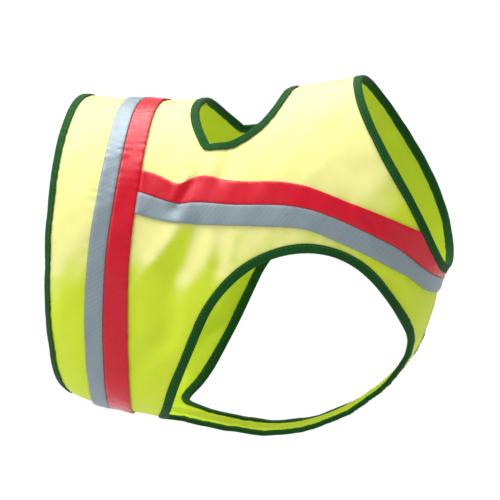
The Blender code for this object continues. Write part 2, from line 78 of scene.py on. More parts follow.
# Rings of the worn form, on the inside of the cloth.  Each ring is an egg shape in a plane that
# leans forward; wide_at is the share of its height where it is widest, squareness_* the exponents
# of its upper and lower half (2 is an ellipse), bow how far its flanks lean out of the plane.
# Columns: along, top_x, top_z, low_x, low_z, half_width, wide_at, squareness_top,
# squareness_low, bow.
RINGS = np.array([
    (0.0, -207.0, -15.0, -214.0, -260.0, 95.5, 0.50, 2.1, 2.2, 0.0),      # hem
    (6.0, -201.0, -15.4, -207.3, -263.5, 99.9, 0.50, 2.1, 2.2, 0.0),
    (61.0, -146.0, -17.6, -120.0, -280.0, 104.6, 0.52, 2.1, 2.5, 0.0),    # girth
    (119.0, -88.0, -14.6, -22.0, -287.0, 102.6, 0.52, 2.1, 2.6, 0.0),
    (175.5, -32.0, -5.8, 66.0, -233.0, 90.6, 0.50, 2.1, 2.5, 1.0),
    (205.2, -3.0, -0.5, 87.0, -190.0, 78.6, 0.50, 2.1, 2.3, 4.0),         # withers and chest
    (233.7, 25.0, 4.9, 99.5, -151.0, 64.6, 0.48, 2.1, 2.1, 6.5),
    (239.7, 31.0, 6.0, 103.3, -145.7, 61.8, 0.48, 2.1, 2.1, 7.1),         # neck
])
NECK = RINGS[-1, 0]
BOW_LOW = 1.6        # exponent that moves the bow below the middle of the ring

# Edges of the band round the girth.  Columns: round, then along of its rear and front edge.
GIRTH_BAND = np.array([
    (0.00, 40.0, 71.5),
    (0.20, 40.0, 68.8),
    (0.31, 37.2, 64.2),
    (0.45, 32.0, 57.4),
    (0.60, 28.4, 52.8),
    (0.80, 24.0, 46.0),
    (1.00, 19.0, 39.5),
])

# Ribs across the chest band, from the girth to the neck edge, and on to the centre of the chest.
# Beyond NECK_RIB the neck edge cuts the red tape, so the upper end of a rib is on that edge.
# Columns: top_along, top_round, mid_along, mid_round, low_along, low_round.
CHEST_BAND = np.array([
    (66.6, 0.255, 64.5, 0.304, 62.0, 0.353),
    (82.0, 0.266, 80.0, 0.314, 78.0, 0.359),
    (96.5, 0.275, 95.0, 0.319, 93.0, 0.361),
    (101.0, 0.266, 100.0, 0.317, 98.0, 0.361),
    (129.0, 0.277, 126.8, 0.328, 124.0, 0.370),
    (160.0, 0.311, 156.0, 0.359, 152.0, 0.402),
    (179.0, 0.354, 174.0, 0.400, 169.0, 0.440),
    (194.0, 0.417, 188.5, 0.460, 182.6, 0.502),
    (212.0, 0.520, 205.0, 0.566, 198.4, 0.605),
    (224.4, 0.614, 215.0, 0.655, 206.5, 0.680),
    (234.0, 0.692, 220.0, 0.722, 211.5, 0.730),
    (234.0, 0.790, 225.0, 0.810, 216.5, 0.830),
    (234.0, 0.895, 229.3, 0.908, 219.6, 0.920),
    (234.0, 1.000, 231.0, 1.000, 220.5, 1.000),
])
NECK_RIB = 10

# Cut edge of the opening on the back, from the centre back behind it round to the centre back
# before it.  Columns: along, round.  HOLE_CORNER is the row of its rear corner.
HOLE_EDGE = np.array([
    (107.2, 0.000), (105.9, 0.076), (109.7, 0.135), (116.8, 0.190),
    (133.6, 0.188), (150.0, 0.172), (165.2, 0.132), (175.4, 0.068), (178.5, 0.000),
])
HOLE_CORNER = 3

# Cut edge of an armhole, a closed loop that starts at its upper rear and runs over the top.
# Columns: along, round.
ARMHOLE_EDGE = np.array([
    (95.2, 0.576), (101.9, 0.540), (119.6, 0.483), (139.6, 0.458), (161.9, 0.475),
    (175.3, 0.513), (187.6, 0.588), (194.1, 0.686), (195.6, 0.795), (190.6, 0.884),
    (175.8, 0.926), (148.1, 0.941), (113.0, 0.943), (78.8, 0.940), (58.8, 0.909),
    (61.8, 0.843), (74.7, 0.716), (85.6, 0.637),
])
ARMHOLE_FRONT, ARMHOLE_REAR = 9, 14     # rows at its lower front and lower rear corner

# Folds of the worn cloth, seen from the side: the two ends, the half width, and the depth, which
# is negative for a trough and positive for a ridge.  These are the folds of the solids.  The left
# ones are those of the right, moved a little and mostly lighter.
# Columns: x0, z0, x1, z1, half_width, depth.
FOLDS = {
    RIGHT: np.array([
        (-83, -106, -98, -138, 9.5, -3.8),    # trough under the chest tape
        (-103, -148, -110, -194, 10, -2.8),   # its lower end
        (-101, -107, -121, -136, 8.5, 2.6),   # ridge behind the trough
        (-65, -108, -68, -138, 6.5, -1.6),    # second, lighter trough
        (-104, -92, -90, -70, 6, -2.5),       # pinch across the chest tape
        (-65, -47, -67, -66, 8, -2),          # slack under the back opening
        (21, -32, 40, -60, 13, -3),           # hollow at the shoulder
        (-117, -203, -139, -219, 8.5, -2),    # foot of the trough, towards the girth
    ]),
    LEFT: np.array([
        (-77, -108, -92, -142, 10, -3.4),
        (-98, -152, -104, -200, 10, -2.5),
        (-95, -110, -114, -140, 8.5, 2.2),
        (-58, -108, -60, -136, 6.5, -1.5),
        (-98, -94, -86, -72, 6, -2),
        (-58, -47, -61, -64, 8, -1.6),
        (16, -36, 34, -66, 13, -2.5),
        (-112, -210, -134, -226, 8.5, -1.8),
    ]),
}

# Finer creases, which the solids leave out.  The same columns, and the same for the left ones.
CREASES = {
    RIGHT: np.array([
        (-107, -88, -98, -69, 2.4, 1.5),      # lip of the pinch
        (-99.5, -105, -107, -119, 3, 0.8),    # sharp crest of the ridge
        (-107, -119, -120, -134, 3.4, 0.8),   # its middle
        (-120, -134, -138, -160, 5, 0.8),     # its foot
        (-75, -104, -77, -140, 6, 0.6),       # cloth before the trough
        (-103, -136, -108, -164, 5, -0.6),    # bottom of the trough
        (-127, -170, -132, -200, 6, 0.7),     # behind the trough's lower end
        (-94, -168, -98, -204, 5, 0.6),       # before it
        (-134, -233, -114, -215, 6, 0.8),     # below its foot
        (-55, -112, -57, -128, 4, 0.7),       # before the second trough
        (-74, -46, -77, -64, 4, 0.7),         # behind the slack under the back opening
        (-60, -30, -52, -58, 7, -0.9),        # before it
        (-112, -40, -106, -66, 9, -0.9),      # strap behind the back opening
        (-16, -30, 4, -62, 8, 0.9),           # yoke, behind the hollow
        (6, -40, 22, -70, 5, 0.8),            # rim of the hollow
        (40, -58, 56, -82, 6, -0.9),          # before the hollow, towards the neck
        (30, -84, 38, -104, 2.6, -0.5),       # small waves over the chest tapes
        (40, -90, 49, -110, 2.6, 0.5),
        (50, -98, 58, -118, 2.6, -0.5),
        (66, -146, 76, -170, 5, -0.9),        # side of the chest
        (-186, -60, -190, -104, 8, -0.8),     # behind the girth tapes: high,
        (-196, -150, -200, -196, 7, 0.7),     # halfway
        (-176, -206, -182, -240, 6, -0.8),    # and low
    ]),
    LEFT: np.array([
        (-101, -90, -93, -71, 2.4, 1.3),
        (-93, -108, -101, -122, 3, 0.7),
        (-101, -122, -114, -138, 3.4, 0.7),
        (-114, -138, -131, -166, 5, 0.7),
        (-68, -106, -70, -142, 6, 0.6),
        (-98, -140, -102, -168, 5, -0.6),
        (-121, -174, -125, -206, 6, 0.6),
        (-88, -172, -92, -208, 5, 0.5),
        (-129, -239, -109, -222, 6, 0.7),
        (-48, -112, -50, -130, 4, 0.6),
        (-67, -46, -71, -62, 4, 0.6),
        (-52, -32, -46, -60, 7, -0.8),
        (-118, -42, -110, -70, 9, -0.8),
        (-22, -32, -2, -64, 8, 0.8),
        (0, -44, 18, -76, 5, 0.7),
        (36, -60, 50, -86, 6, -0.8),
        (26, -86, 36, -104, 2.6, -0.5),
        (44, -94, 52, -112, 2.6, 0.4),
        (64, -150, 74, -172, 5, -0.8),
        (-182, -66, -186, -112, 8, -0.7),
        (-192, -156, -198, -200, 7, 0.7),
        (-170, -212, -178, -242, 6, -0.7),
    ]),
}
CENTRE_CALM = 12.0   # distance from the centre plane over which the folds grow

# Slow unevenness of the cloth.  Columns: waves along x, along z, start, height.
RIPPLES = np.array([
    (1 / 43.0, 1 / 61.0, 0.4, 0.28),
    (-1 / 29.0, 1 / 37.0, 2.1, 0.20),
    (1 / 17.0, 1 / 23.0, 4.0, 0.09),
])
PUCKER_REACH = 5.0   # how far from a sewn line the cloth puckers
PUCKER_WAVE = 8.3    # length of one pucker along the line
PUCKER_DRIFT = 37.0  # length over which the puckers crowd and spread
PUCKER_HEIGHT = 0.26
PUCKER_SHIFT = 2.0   # how far the drift moves a pucker along, in radians
PUCKER_SWELL = 0.5   # share of its height by which the drift raises or lowers it

# Painted highlight: the yellow is painted paler where the cloth faces the light, which comes from
# above and a little behind.
HIGHLIGHT_FROM = np.array([-0.5, 0.0, 0.85])
HIGHLIGHT_RANGE = (-0.22, 0.20)      # over which the painted highlight grows
PAINTED_SHADE_FOOT = (-112.0, -186.0)    # heights between which the flank turns down and painted shade takes the painted highlight away
PAINTED_SHADE_SHARE = 0.40               # how much of the painted highlight that painted shade takes away
NO_HIGHLIGHT = -1.0                  # value of the inside, which gets no painted highlight

# ------------------------------------------------------------------ cells of the cloth
FINE = 5             # finer than the cells of the solids
STRAP_ROWS = 6 * FINE
UNDER_ROWS = 8 * FINE
RED_ROWS = 2 * FINE
SILVER_ROWS = 2 * FINE
FLANK_ROWS = 17 * FINE
REAR_COLUMNS = 3 * FINE
HOLE_COLUMNS = 9 * FINE
YOKE_COLUMNS = 4 * FINE
LOWER_COLUMNS = 5 * FINE
BELLY_COLUMNS = 13 * FINE
MARGIN_COLUMNS = 2 * FINE
SKIRT_ROWS = 4 * FINE
EDGE_ROWS = 3        # under a binding
BAND_ROWS = 6        # across a girth tape
GRID_STEP = 0.5      # of the even grid that holds the form, along
GRID_ROUND = 720     # cells of that grid round a half ring
GRID_ROOM = 4        # cells of that grid past each centre line
EDGE_ROOM = 3.0      # how far that grid runs past the hem and the neck
RING_STEPS = 360     # steps of a half ring before they are spread evenly
LINE_STEPS = 600     # steps of a smooth line before they are spread evenly
SEWN_STEPS = 400     # steps of a sewn ring where puckers are measured from it


# ------------------------------------------------------------------ curves
def spline(knots, values, at):
    """Natural cubic spline through the rows of values, read at one place or at many."""
    count, spans = len(knots), np.diff(knots)
    matrix, right = np.eye(count), np.zeros_like(values)
    for i in range(1, count - 1):
        matrix[i, i - 1:i + 2] = spans[i - 1], 2 * (spans[i - 1] + spans[i]), spans[i]
        right[i] = 6 * ((values[i + 1] - values[i]) / spans[i]
                        - (values[i] - values[i - 1]) / spans[i - 1])
    bend = np.linalg.solve(matrix, right)
    at = np.atleast_1d(np.asarray(at, float))
    i = np.clip(np.searchsorted(knots, at, side="right") - 1, 0, count - 2)
    before, after = (at - knots[i])[:, None], (knots[i + 1] - at)[:, None]
    span = spans[i][:, None]
    return ((bend[i] * after ** 3 + bend[i + 1] * before ** 3) / (6 * span)
            + (values[i] / span - bend[i] * span / 6) * after
            + (values[i + 1] / span - bend[i + 1] * span / 6) * before)


def lengths(points):
    """Distance from the first point to each point of a line."""
    steps = np.linalg.norm(np.diff(points, axis=0), axis=1)
    return np.concatenate([[0.0], np.cumsum(steps)])


def read_at(wanted, reach, line):
    """Points of a line, or values along it, at some distances from its start."""
    return np.stack([np.interp(wanted, reach, column) for column in line.T], axis=1)


def unit(vectors):
    """Vectors of the same directions and of length 1."""
    return vectors / np.linalg.norm(vectors, axis=-1, keepdims=True)


# ------------------------------------------------------------------ the worn form
def ring_points(along):
    """Right halves of the rings at some distances along, from the centre back to the belly."""
    rows = spline(RINGS[:, 0], RINGS[:, 1:], along).T[:, :, None]
    top_x, top_z, low_x, low_z, half_width, wide_at, square_top, square_low, bow = rows
    turn = np.linspace(0.0, np.pi, RING_STEPS + 1)[None]
    upper = turn < np.pi / 2
    power = 2.0 / np.where(upper, square_top, square_low)
    side = half_width * np.abs(np.sin(turn)) ** power
    fall = np.abs(np.cos(turn)) ** power
    height = np.where(upper, wide_at * (1.0 - fall), wide_at + (1.0 - wide_at) * fall)
    run_x, run_z = low_x - top_x, low_z - top_z
    slant = np.hypot(run_x, run_z)
    lean = bow * np.sin(np.pi * height ** BOW_LOW)
    return np.stack([top_x + run_x * height - run_z / slant * lean,
                     -side,
                     top_z + run_z * height + run_x / slant * lean], axis=2)


@lru_cache(maxsize=None)
def form():
    """Even grid over the right half: points on the inside, slopes, directions out, and reach."""
    along = np.arange(-EDGE_ROOM, NECK + EDGE_ROOM + GRID_STEP, GRID_STEP)
    shares = np.linspace(0.0, 1.0, GRID_ROUND + 1)
    even, reach = [], []
    for ring in ring_points(along):
        walked = lengths(ring)
        even.append(read_at(shares * walked[-1], walked, ring))
        reach.append(walked[-1])
    points = np.array(even)
    mirror = np.array([1.0, -1.0, 1.0])
    points = np.concatenate([points[:, GRID_ROOM:0:-1] * mirror, points,
                             points[:, -2:-GRID_ROOM - 2:-1] * mirror], axis=1)
    by_along = np.gradient(points, GRID_STEP, axis=0)
    by_round = np.gradient(points, 1.0 / GRID_ROUND, axis=1)
    out = unit(np.cross(by_round, by_along))
    reach = np.repeat(np.array(reach)[:, None, None], points.shape[1], axis=1)
    return np.concatenate([points, by_along, by_round, out, reach], axis=2)


def sampled(places):
    """Point, slope along, slope round, direction out and reach of the form at some places."""
    grid = form()
    row = (places[..., 0] + EDGE_ROOM) / GRID_STEP
    column = places[..., 1] * GRID_ROUND + GRID_ROOM
    i = np.clip(row.astype(int), 0, grid.shape[0] - 2)
    j = np.clip(column.astype(int), 0, grid.shape[1] - 2)
    a, b = (row - i)[..., None], (column - j)[..., None]
    found = ((1 - a) * ((1 - b) * grid[i, j] + b * grid[i, j + 1])
             + a * ((1 - b) * grid[i + 1, j] + b * grid[i + 1, j + 1]))
    return (found[..., 0:3], found[..., 3:6], found[..., 6:9], unit(found[..., 9:12]),
            found[..., 12])


def place(places):
    """Points on the inside of the unfolded right half."""
    return sampled(np.asarray(places, float))[0]


def smooth_step(value):
    """Value held between 0 and 1, with soft ends."""
    value = np.clip(value, 0.0, 1.0)
    return value * value * (3.0 - 2.0 * value)


def fold_lift(points, side):
    """How far the folds and creases lift the cloth, by each point's place in the side view."""
    lift = np.zeros(points.shape[:-1])
    for x0, z0, x1, z1, half_width, depth in np.concatenate([FOLDS[side], CREASES[side]]):
        start, run = np.array([x0, z0]), np.array([x1 - x0, z1 - z0])
        to_point = points[..., [0, 2]] - start
        share = np.clip(to_point @ run / (run @ run), 0.0, 1.0)
        off = np.linalg.norm(to_point - share[..., None] * run, axis=-1) / half_width
        lift += depth * np.exp(-off * off)
    for wave_x, wave_z, start, height in RIPPLES:
        turns = wave_x * points[..., 0] + wave_z * points[..., 2]
        lift += height * np.sin(tau * turns + start * (1 + side / 3))
    return lift * smooth_step(np.abs(points[..., 1]) / CENTRE_CALM)


def cloth(places, side, height):
    """Points at a height over the inside of the folded cloth, on one side of the vest."""
    places = np.asarray(places, float)
    points, _, _, out, _ = sampled(places)
    lift = fold_lift(points, side) + pucker_lift(points, side) + height
    return (points + np.asarray(lift)[..., None] * out) * (1.0, -side, 1.0)


def outward(places, side):
    """Directions out of the cloth, on one side of the vest."""
    return sampled(np.asarray(places, float))[3] * (1.0, -side, 1.0)


# ------------------------------------------------------------------ lines on the cloth
def moved(line, distance):
    """A line of places moved sideways on the cloth, to the right of its run seen from outside."""
    points, by_along, by_round, out, _ = sampled(line)
    run = unit(points[2:] - points[:-2])
    aside = np.cross(run, out[1:-1]) * distance
    by_along, by_round = by_along[1:-1], by_round[1:-1]
    metric = np.stack([
        np.stack([(by_along * by_along).sum(1), (by_along * by_round).sum(1)], axis=1),
        np.stack([(by_along * by_round).sum(1), (by_round * by_round).sum(1)], axis=1),
    ], axis=1)
    step = np.stack([(by_along * aside).sum(1), (by_round * aside).sum(1)], axis=1)
    return line[1:-1] + np.linalg.solve(metric, step[:, :, None])[:, :, 0]


def spaced(line, count):
    """Count + 1 places spread evenly, as measured on the cloth, along a line of places."""
    reach = lengths(place(line))
    return read_at(np.linspace(0.0, reach[-1], count + 1), reach, line)


def smooth(rows, first=0, last=None):
    """Dense smooth line of places through the rows, returned from row first to row last."""
    last = len(rows) - 1 if last is None else last
    knots = lengths(place(rows))
    return spline(knots, rows, np.linspace(knots[first], knots[last], LINE_STEPS + 1))


@lru_cache(maxsize=None)
def girth_edges():
    """The girth band with its nearest rows mirrored past both centres, so it crosses them square."""
    back, belly = GIRTH_BAND[2:0:-1].copy(), GIRTH_BAND[-2:-4:-1].copy()
    back[:, 0] *= -1.0
    belly[:, 0] = 2.0 - belly[:, 0]
    return np.concatenate([back, GIRTH_BAND, belly])


def girth_line(rounds, share):
    """Places of the girth band at shares round: share 0 is its rear edge, 1 its front edge."""
    rows = girth_edges()
    rear, front = spline(rows[:, 0], rows[:, 1:], rounds).T
    return np.stack([rear + share * (front - rear), np.atleast_1d(rounds)], axis=1)


def binding_line(rounds, edge, inward):
    """Places where the binding of the hem or the neck ends on the cloth."""
    edge_line = np.stack([np.full(len(rounds), edge), rounds], axis=1)
    stretch = np.linalg.norm(sampled(edge_line)[1], axis=1)
    return edge_line + np.stack([inward * BINDING / stretch, np.zeros(len(rounds))], axis=1)


@lru_cache(maxsize=None)
def chest_lines():
    """Upper, middle and lower edge of the chest band, one place for each rib of cells."""
    knots = lengths(place(CHEST_BAND[:, 2:4]))
    rear_stretch = REAR_COLUMNS + HOLE_COLUMNS + YOKE_COLUMNS
    free = np.linspace(0.0, knots[NECK_RIB], rear_stretch + 1)
    rows_free = spline(knots[:NECK_RIB + 1], CHEST_BAND[:NECK_RIB + 1], free)
    cut = np.linspace(knots[NECK_RIB], knots[-1], LOWER_COLUMNS + 1)[1:]
    rows = np.concatenate([rows_free, spline(knots, CHEST_BAND, cut)])
    for k in (0, 2, 4):
        rows[0, k:k + 2] = girth_line(rows[0, k + 1], 1.0)[0]
    rounds = np.linspace(rows[rear_stretch, 1], 1.0, LOWER_COLUMNS + 1)
    rows[rear_stretch:, :2] = binding_line(rounds, NECK, -1)
    rows[-1, [3, 5]] = 1.0
    return rows[:, 0:2], rows[:, 2:4], rows[:, 4:6]


@lru_cache(maxsize=None)
def hole_lines():
    """Cut edge of the back opening, and where its binding ends, a place for each cell."""
    rear = spaced(smooth(HOLE_EDGE[:HOLE_CORNER + 1]), STRAP_ROWS)
    front = spaced(smooth(HOLE_EDGE[HOLE_CORNER:]), HOLE_COLUMNS)
    edge = np.concatenate([rear, front[1:]])
    mirror = np.array([1.0, -1.0])
    seam = moved(np.concatenate([edge[1:2] * mirror, edge, edge[-2:-1] * mirror]), BINDING)
    seam[[0, -1], 1] = 0.0
    return edge, seam


@lru_cache(maxsize=None)
def armhole_lines():
    """Cut edge of the armhole, and where its binding ends, as closed loops of places."""
    more = 3
    table = np.concatenate([ARMHOLE_EDGE[-more:], ARMHOLE_EDGE, ARMHOLE_EDGE[:more + 1]])
    stops = (0, ARMHOLE_FRONT, ARMHOLE_REAR, len(ARMHOLE_EDGE))
    counts = (len(chest_lines()[0]) - 1, BELLY_COLUMNS, FLANK_ROWS)
    parts = [spaced(smooth(table, more + first, more + last), count)[:-1]
             for first, last, count in zip(stops, stops[1:], counts)]
    edge = np.concatenate(parts)
    seam = moved(np.concatenate([edge[-1:], edge, edge[:1]]), -BINDING)
    return edge, seam


@lru_cache(maxsize=None)
def sewn_lines():
    """Tree of points on every sewn line of the unfolded right half, with their reach."""
    rounds = np.linspace(0.0, 1.0, SEWN_STEPS)
    lines = [girth_line(rounds, share) for share in (0.0, SILVER_SHARE, 1.0)]
    lines += [binding_line(rounds, 0.0, 1), binding_line(rounds, NECK, -1)]
    lines += [*chest_lines(), hole_lines()[1], armhole_lines()[1]]
    points, reach, begun = [], [], 0.0
    for line in lines:
        on_cloth = place(line)
        points.append(on_cloth)
        reach.append(lengths(on_cloth) + begun)
        begun = reach[-1][-1] + PUCKER_DRIFT
    points, reach = np.concatenate(points), np.concatenate(reach)
    tree = KDTree(len(points))
    for i, point in enumerate(points):
        tree.insert(point, i)
    tree.balance()
    return tree, reach


def pucker_lift(points, side):
    """Small puckers that the stitching draws in the cloth, across every sewn line."""
    tree, reach = sewn_lines()
    flat = points.reshape(-1, 3)
    found = [tree.find(point)[1:] for point in flat]
    walked = reach[[index for index, _ in found]]
    near = np.exp(-(np.array([distance for _, distance in found]) / PUCKER_REACH) ** 2)
    drift = np.sin(tau * walked / PUCKER_DRIFT + side)
    wave = np.sin(tau * walked / PUCKER_WAVE + PUCKER_SHIFT * drift) * (1.0 + PUCKER_SWELL * drift)
    calm = smooth_step(np.abs(flat[:, 1]) / CENTRE_CALM)
    return (PUCKER_HEIGHT * wave * near * calm).reshape(points.shape[:-1])


# ------------------------------------------------------------------ patches of cells
def width_of(first, last):
    """Distance on the cloth between two lines of places, place by place, as a column."""
    return np.linalg.norm(place(first) - place(last), axis=1)[:, None]


def straight(start, end, count):
    """Count + 1 places on the straight line between two places."""
    shares = np.linspace(0.0, 1.0, count + 1)[:, None]
    return start + shares * (end - start)


def layered(first, last, count):
    """Patch of count rows of cells between two lines."""
    return np.array([first + share * (last - first) for share in np.linspace(0, 1, count + 1)])


def filled(top, bottom, rear, front):
    """Patch inside four lines: rows run from rear to front, and follow each other downwards."""
    down = np.linspace(0.0, 1.0, len(rear))[:, None, None]
    ahead = np.linspace(0.0, 1.0, len(top))[None, :, None]
    across = (1 - down) * top[None] + down * bottom[None]
    upright = (1 - ahead) * rear[:, None] + ahead * front[:, None]
    corners = ((1 - down) * ((1 - ahead) * top[0] + ahead * top[-1])
               + down * ((1 - ahead) * bottom[0] + ahead * bottom[-1]))
    return across + upright - corners


def closed(patch):
    """The patch with its first column repeated at its end."""
    return np.concatenate([patch, patch[:, :1]], axis=1)


def girth_rounds():
    """Places round the girth of every line of cells, from the centre back to the belly."""
    stops = [0.0, *(line[0, 1] for line in chest_lines()), 1.0]
    counts = (STRAP_ROWS + UNDER_ROWS, RED_ROWS, SILVER_ROWS, FLANK_ROWS)
    rounds = [np.linspace(start, stop, count + 1)[:-1]
              for start, stop, count in zip(stops, stops[1:], counts)]
    return np.concatenate([*rounds, [1.0]])


def girth_patches(rounds):
    """Patches from the hem to the front of the girth band, and the line that ends them."""
    hem = np.stack([np.zeros(len(rounds)), rounds], axis=1)
    seam = binding_line(rounds, 0.0, 1)
    rear, split, front = (girth_line(rounds, share) for share in (0.0, SILVER_SHARE, 1.0))
    patches = {
        "hem_edge": layered(seam, hem, EDGE_ROWS),
        "margin": layered(seam, rear, MARGIN_COLUMNS),
        "girth_silver": layered(rear, split, BAND_ROWS),
        "girth_red": layered(split, front, BAND_ROWS),
    }
    return patches, front


def yoke_patches(chest_top, hole_seam, girth_front):
    """Patches between the chest band and the centre back, round the back opening."""
    first, second = REAR_COLUMNS, REAR_COLUMNS + HOLE_COLUMNS
    third = second + YOKE_COLUMNS
    corner, apex = hole_seam[STRAP_ROWS], hole_seam[-1]
    drop = straight(corner, chest_top[first], UNDER_ROWS)
    fall = straight(apex, chest_top[second], UNDER_ROWS)
    neck = binding_line(np.linspace(0.0, chest_top[third, 1], UNDER_ROWS + 1), NECK, -1)
    return {
        "strap": filled(straight(girth_front[0], hole_seam[0], REAR_COLUMNS),
                        chest_top[:first + 1], girth_front,
                        np.concatenate([hole_seam[:STRAP_ROWS + 1], drop[1:]])),
        "under_hole": filled(hole_seam[STRAP_ROWS:], chest_top[first:second + 1], drop, fall),
        "yoke": filled(straight(apex, neck[0], YOKE_COLUMNS),
                       chest_top[second:third + 1], fall, neck),
    }, neck


def chest_patches(rib):
    """Patches of the two chest tapes, whose first rib lies on the front of the girth band."""
    chest_top, chest_mid, chest_low = chest_lines()
    red = layered(chest_top, chest_mid, RED_ROWS)
    silver = layered(chest_mid, chest_low, SILVER_ROWS)
    red[:, 0], silver[:, 0] = rib[:RED_ROWS + 1], rib[RED_ROWS:]
    return {"chest_red": red, "chest_silver": silver}


def edge_patches(neck_seam, surround):
    """Patches under the bindings of the neck, the hole and the armhole, and round the last."""
    hole_edge, hole_seam = hole_lines()
    armhole_edge, armhole_seam = armhole_lines()
    neck_edge = np.stack([np.full(len(neck_seam), NECK), neck_seam[:, 1]], axis=1)
    return {
        "neck_edge": layered(neck_seam, neck_edge, EDGE_ROWS),
        "hole_edge": layered(hole_seam, hole_edge, EDGE_ROWS),
        "armhole_edge": closed(layered(armhole_seam, armhole_edge, EDGE_ROWS)),
        "skirt": closed(layered(surround, armhole_seam, SKIRT_ROWS)),
    }


@lru_cache(maxsize=None)
def cloth_patches():
    """All patches of the right half, by name."""
    chest_top, _, chest_low = chest_lines()
    patches, girth_front = girth_patches(girth_rounds())
    upper = STRAP_ROWS + UNDER_ROWS
    yoke, neck_upper = yoke_patches(chest_top, hole_lines()[1], girth_front[:upper + 1])
    flank = girth_front[-FLANK_ROWS - 1:]
    belly = straight(chest_low[-1], flank[-1], BELLY_COLUMNS)
    surround = np.concatenate([chest_low[:-1], belly[:-1], flank[:0:-1]])
    neck_seam = np.concatenate([neck_upper, chest_top[-LOWER_COLUMNS:]])
    rib = girth_front[upper:upper + RED_ROWS + SILVER_ROWS + 1]
    return {**patches, **yoke, **chest_patches(rib), **edge_patches(neck_seam, surround)}


# ------------------------------------------------------------------ mesh helpers
def make_mesh(name, points, faces, flat_places, material):
    """Object of points in millimetres, with a UV map in metres from the flat places."""
    mesh = bpy.data.meshes.new(name)
    mesh.from_pydata((np.asarray(points) * MM).tolist(), [], faces)
    corners = np.empty(len(mesh.loops), dtype=np.int32)
    mesh.loops.foreach_get("vertex_index", corners)
    unwrapped = mesh.uv_layers.new(name="cloth")
    unwrapped.data.foreach_set("uv", (np.asarray(flat_places) * MM)[corners].ravel())
    mesh.shade_smooth()
    mesh.materials.append(material)
    piece = bpy.data.objects.new(name, mesh)
    bpy.context.scene.collection.objects.link(piece)
    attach(piece, BODY)
    return piece


def thicken(piece, wall):
    """Gives an open sheet its wall, inwards from the face that shows."""
    bpy.ops.object.select_all(action="DESELECT")
    piece.select_set(True)
    bpy.context.view_layer.objects.active = piece
    bpy.ops.object.modifier_add(type="SOLIDIFY")
    solidify = piece.modifiers[-1]
    solidify.thickness = wall * MM
    solidify.offset = -1.0
    bpy.ops.object.modifier_apply(modifier=solidify.name)
    piece.select_set(False)


def grid_faces(rows, columns, wrap, flip):
    """Cells of a grid of points, closed on itself along its rows if it wraps."""
    faces = []
    for i in range(rows - 1):
        for j in range(columns if wrap else columns - 1):
            ahead = (j + 1) % columns
            face = [i * columns + j, (i + 1) * columns + j,
                    (i + 1) * columns + ahead, i * columns + ahead]
            faces.append(face[::-1] if flip else face)
    return faces


def both_sides(make, wrap):
    """Grid over both halves: the right one, then the left one run backwards from the centre."""
    right, left = make(RIGHT), make(LEFT)
    back = left[:, -2:0:-1] if wrap else left[:, -2::-1]
    return np.concatenate([right, back], axis=1)


def flat_lengths(points):
    """Run along a grid's middle row, and across each of its columns, as flat places."""
    middle = points[len(points) // 2]
    run = lengths(middle)
    across = np.concatenate([np.zeros((1, points.shape[1])), np.cumsum(
        np.linalg.norm(np.diff(points, axis=0), axis=2), axis=0)])
    return np.stack([np.broadcast_to(run, across.shape), across], axis=2).reshape(-1, 2)


# ------------------------------------------------------------------ panels
def highlight_facing(mesh):
    """How far each point of an open sheet faces the light of the painted highlight, less the painted
    shade low on the flank.
    """
    normals, points = np.empty((2, 3 * len(mesh.vertices)), dtype=np.float32)
    mesh.vertices.foreach_get("normal", normals)
    mesh.vertices.foreach_get("co", points)
    top, foot = PAINTED_SHADE_FOOT
    shade = smooth_step((top - points[2::3] / MM) / (top - foot))
    return normals.reshape(-1, 3) @ HIGHLIGHT_FROM - PAINTED_SHADE_SHARE * shade


def mark_painted_highlight(mesh, outside):
    """Attribute of the painted highlight on a sheet with its wall, whose inside gets none."""
    values = np.full(len(mesh.vertices), NO_HIGHLIGHT)
    values[:len(outside)] = outside
    mesh.attributes.new("painted_highlight", "FLOAT", "POINT").data.foreach_set("value", values)


def spot_of(spot):
    """A place rounded, so that the patches that meet in it share it."""
    return round(float(spot[0]), 5), round(float(spot[1]), 7)


def welded_cells(patches):
    """Places of the patches without repeats, and their cells facing out on the right side."""
    spots, cells = {}, []
    for patch in patches:
        index = [[spots.setdefault(spot_of(spot), len(spots)) for spot in row] for row in patch]
        for upper, lower, top, low in zip(index, index[1:], patch, patch[1:]):
            for j in range(len(upper) - 1):
                one, other = low[j + 1] - top[j], top[j + 1] - low[j]
                cell = [upper[j], lower[j], lower[j + 1], upper[j + 1]]
                cells.append(cell if one[0] * other[1] < one[1] * other[0] else cell[::-1])
    return np.array(list(spots)), cells


def centre_stretches(patch_names):
    """Places on the centre lines that border the named patches, as one set."""
    patches = cloth_patches()
    rows = np.concatenate([patches[name].reshape(-1, 2) for name in patch_names])
    return {spot_of(spot) for spot in rows if spot[1] in (0.0, 1.0)}


def seam_allowance(places, cells):
    """Places along the free centre edge, and the cells that join them to their turned copies."""
    bound = centre_stretches(("hem_edge", "neck_edge", "hole_edge"))
    free = [b in (0.0, 1.0) and (a, b) not in bound for a, b in places]
    edges = {(cell[k], cell[(k + 1) % 4]) for cell in cells for k in range(4)}
    seam = [(a, b) for a, b in sorted(edges) if free[a] and free[b] and (b, a) not in edges]
    copied = sorted({spot for edge in seam for spot in edge})
    inside = {spot: len(places) + k for k, spot in enumerate(copied)}
    return copied, [[b, a, inside[a], inside[b]] for a, b in seam]


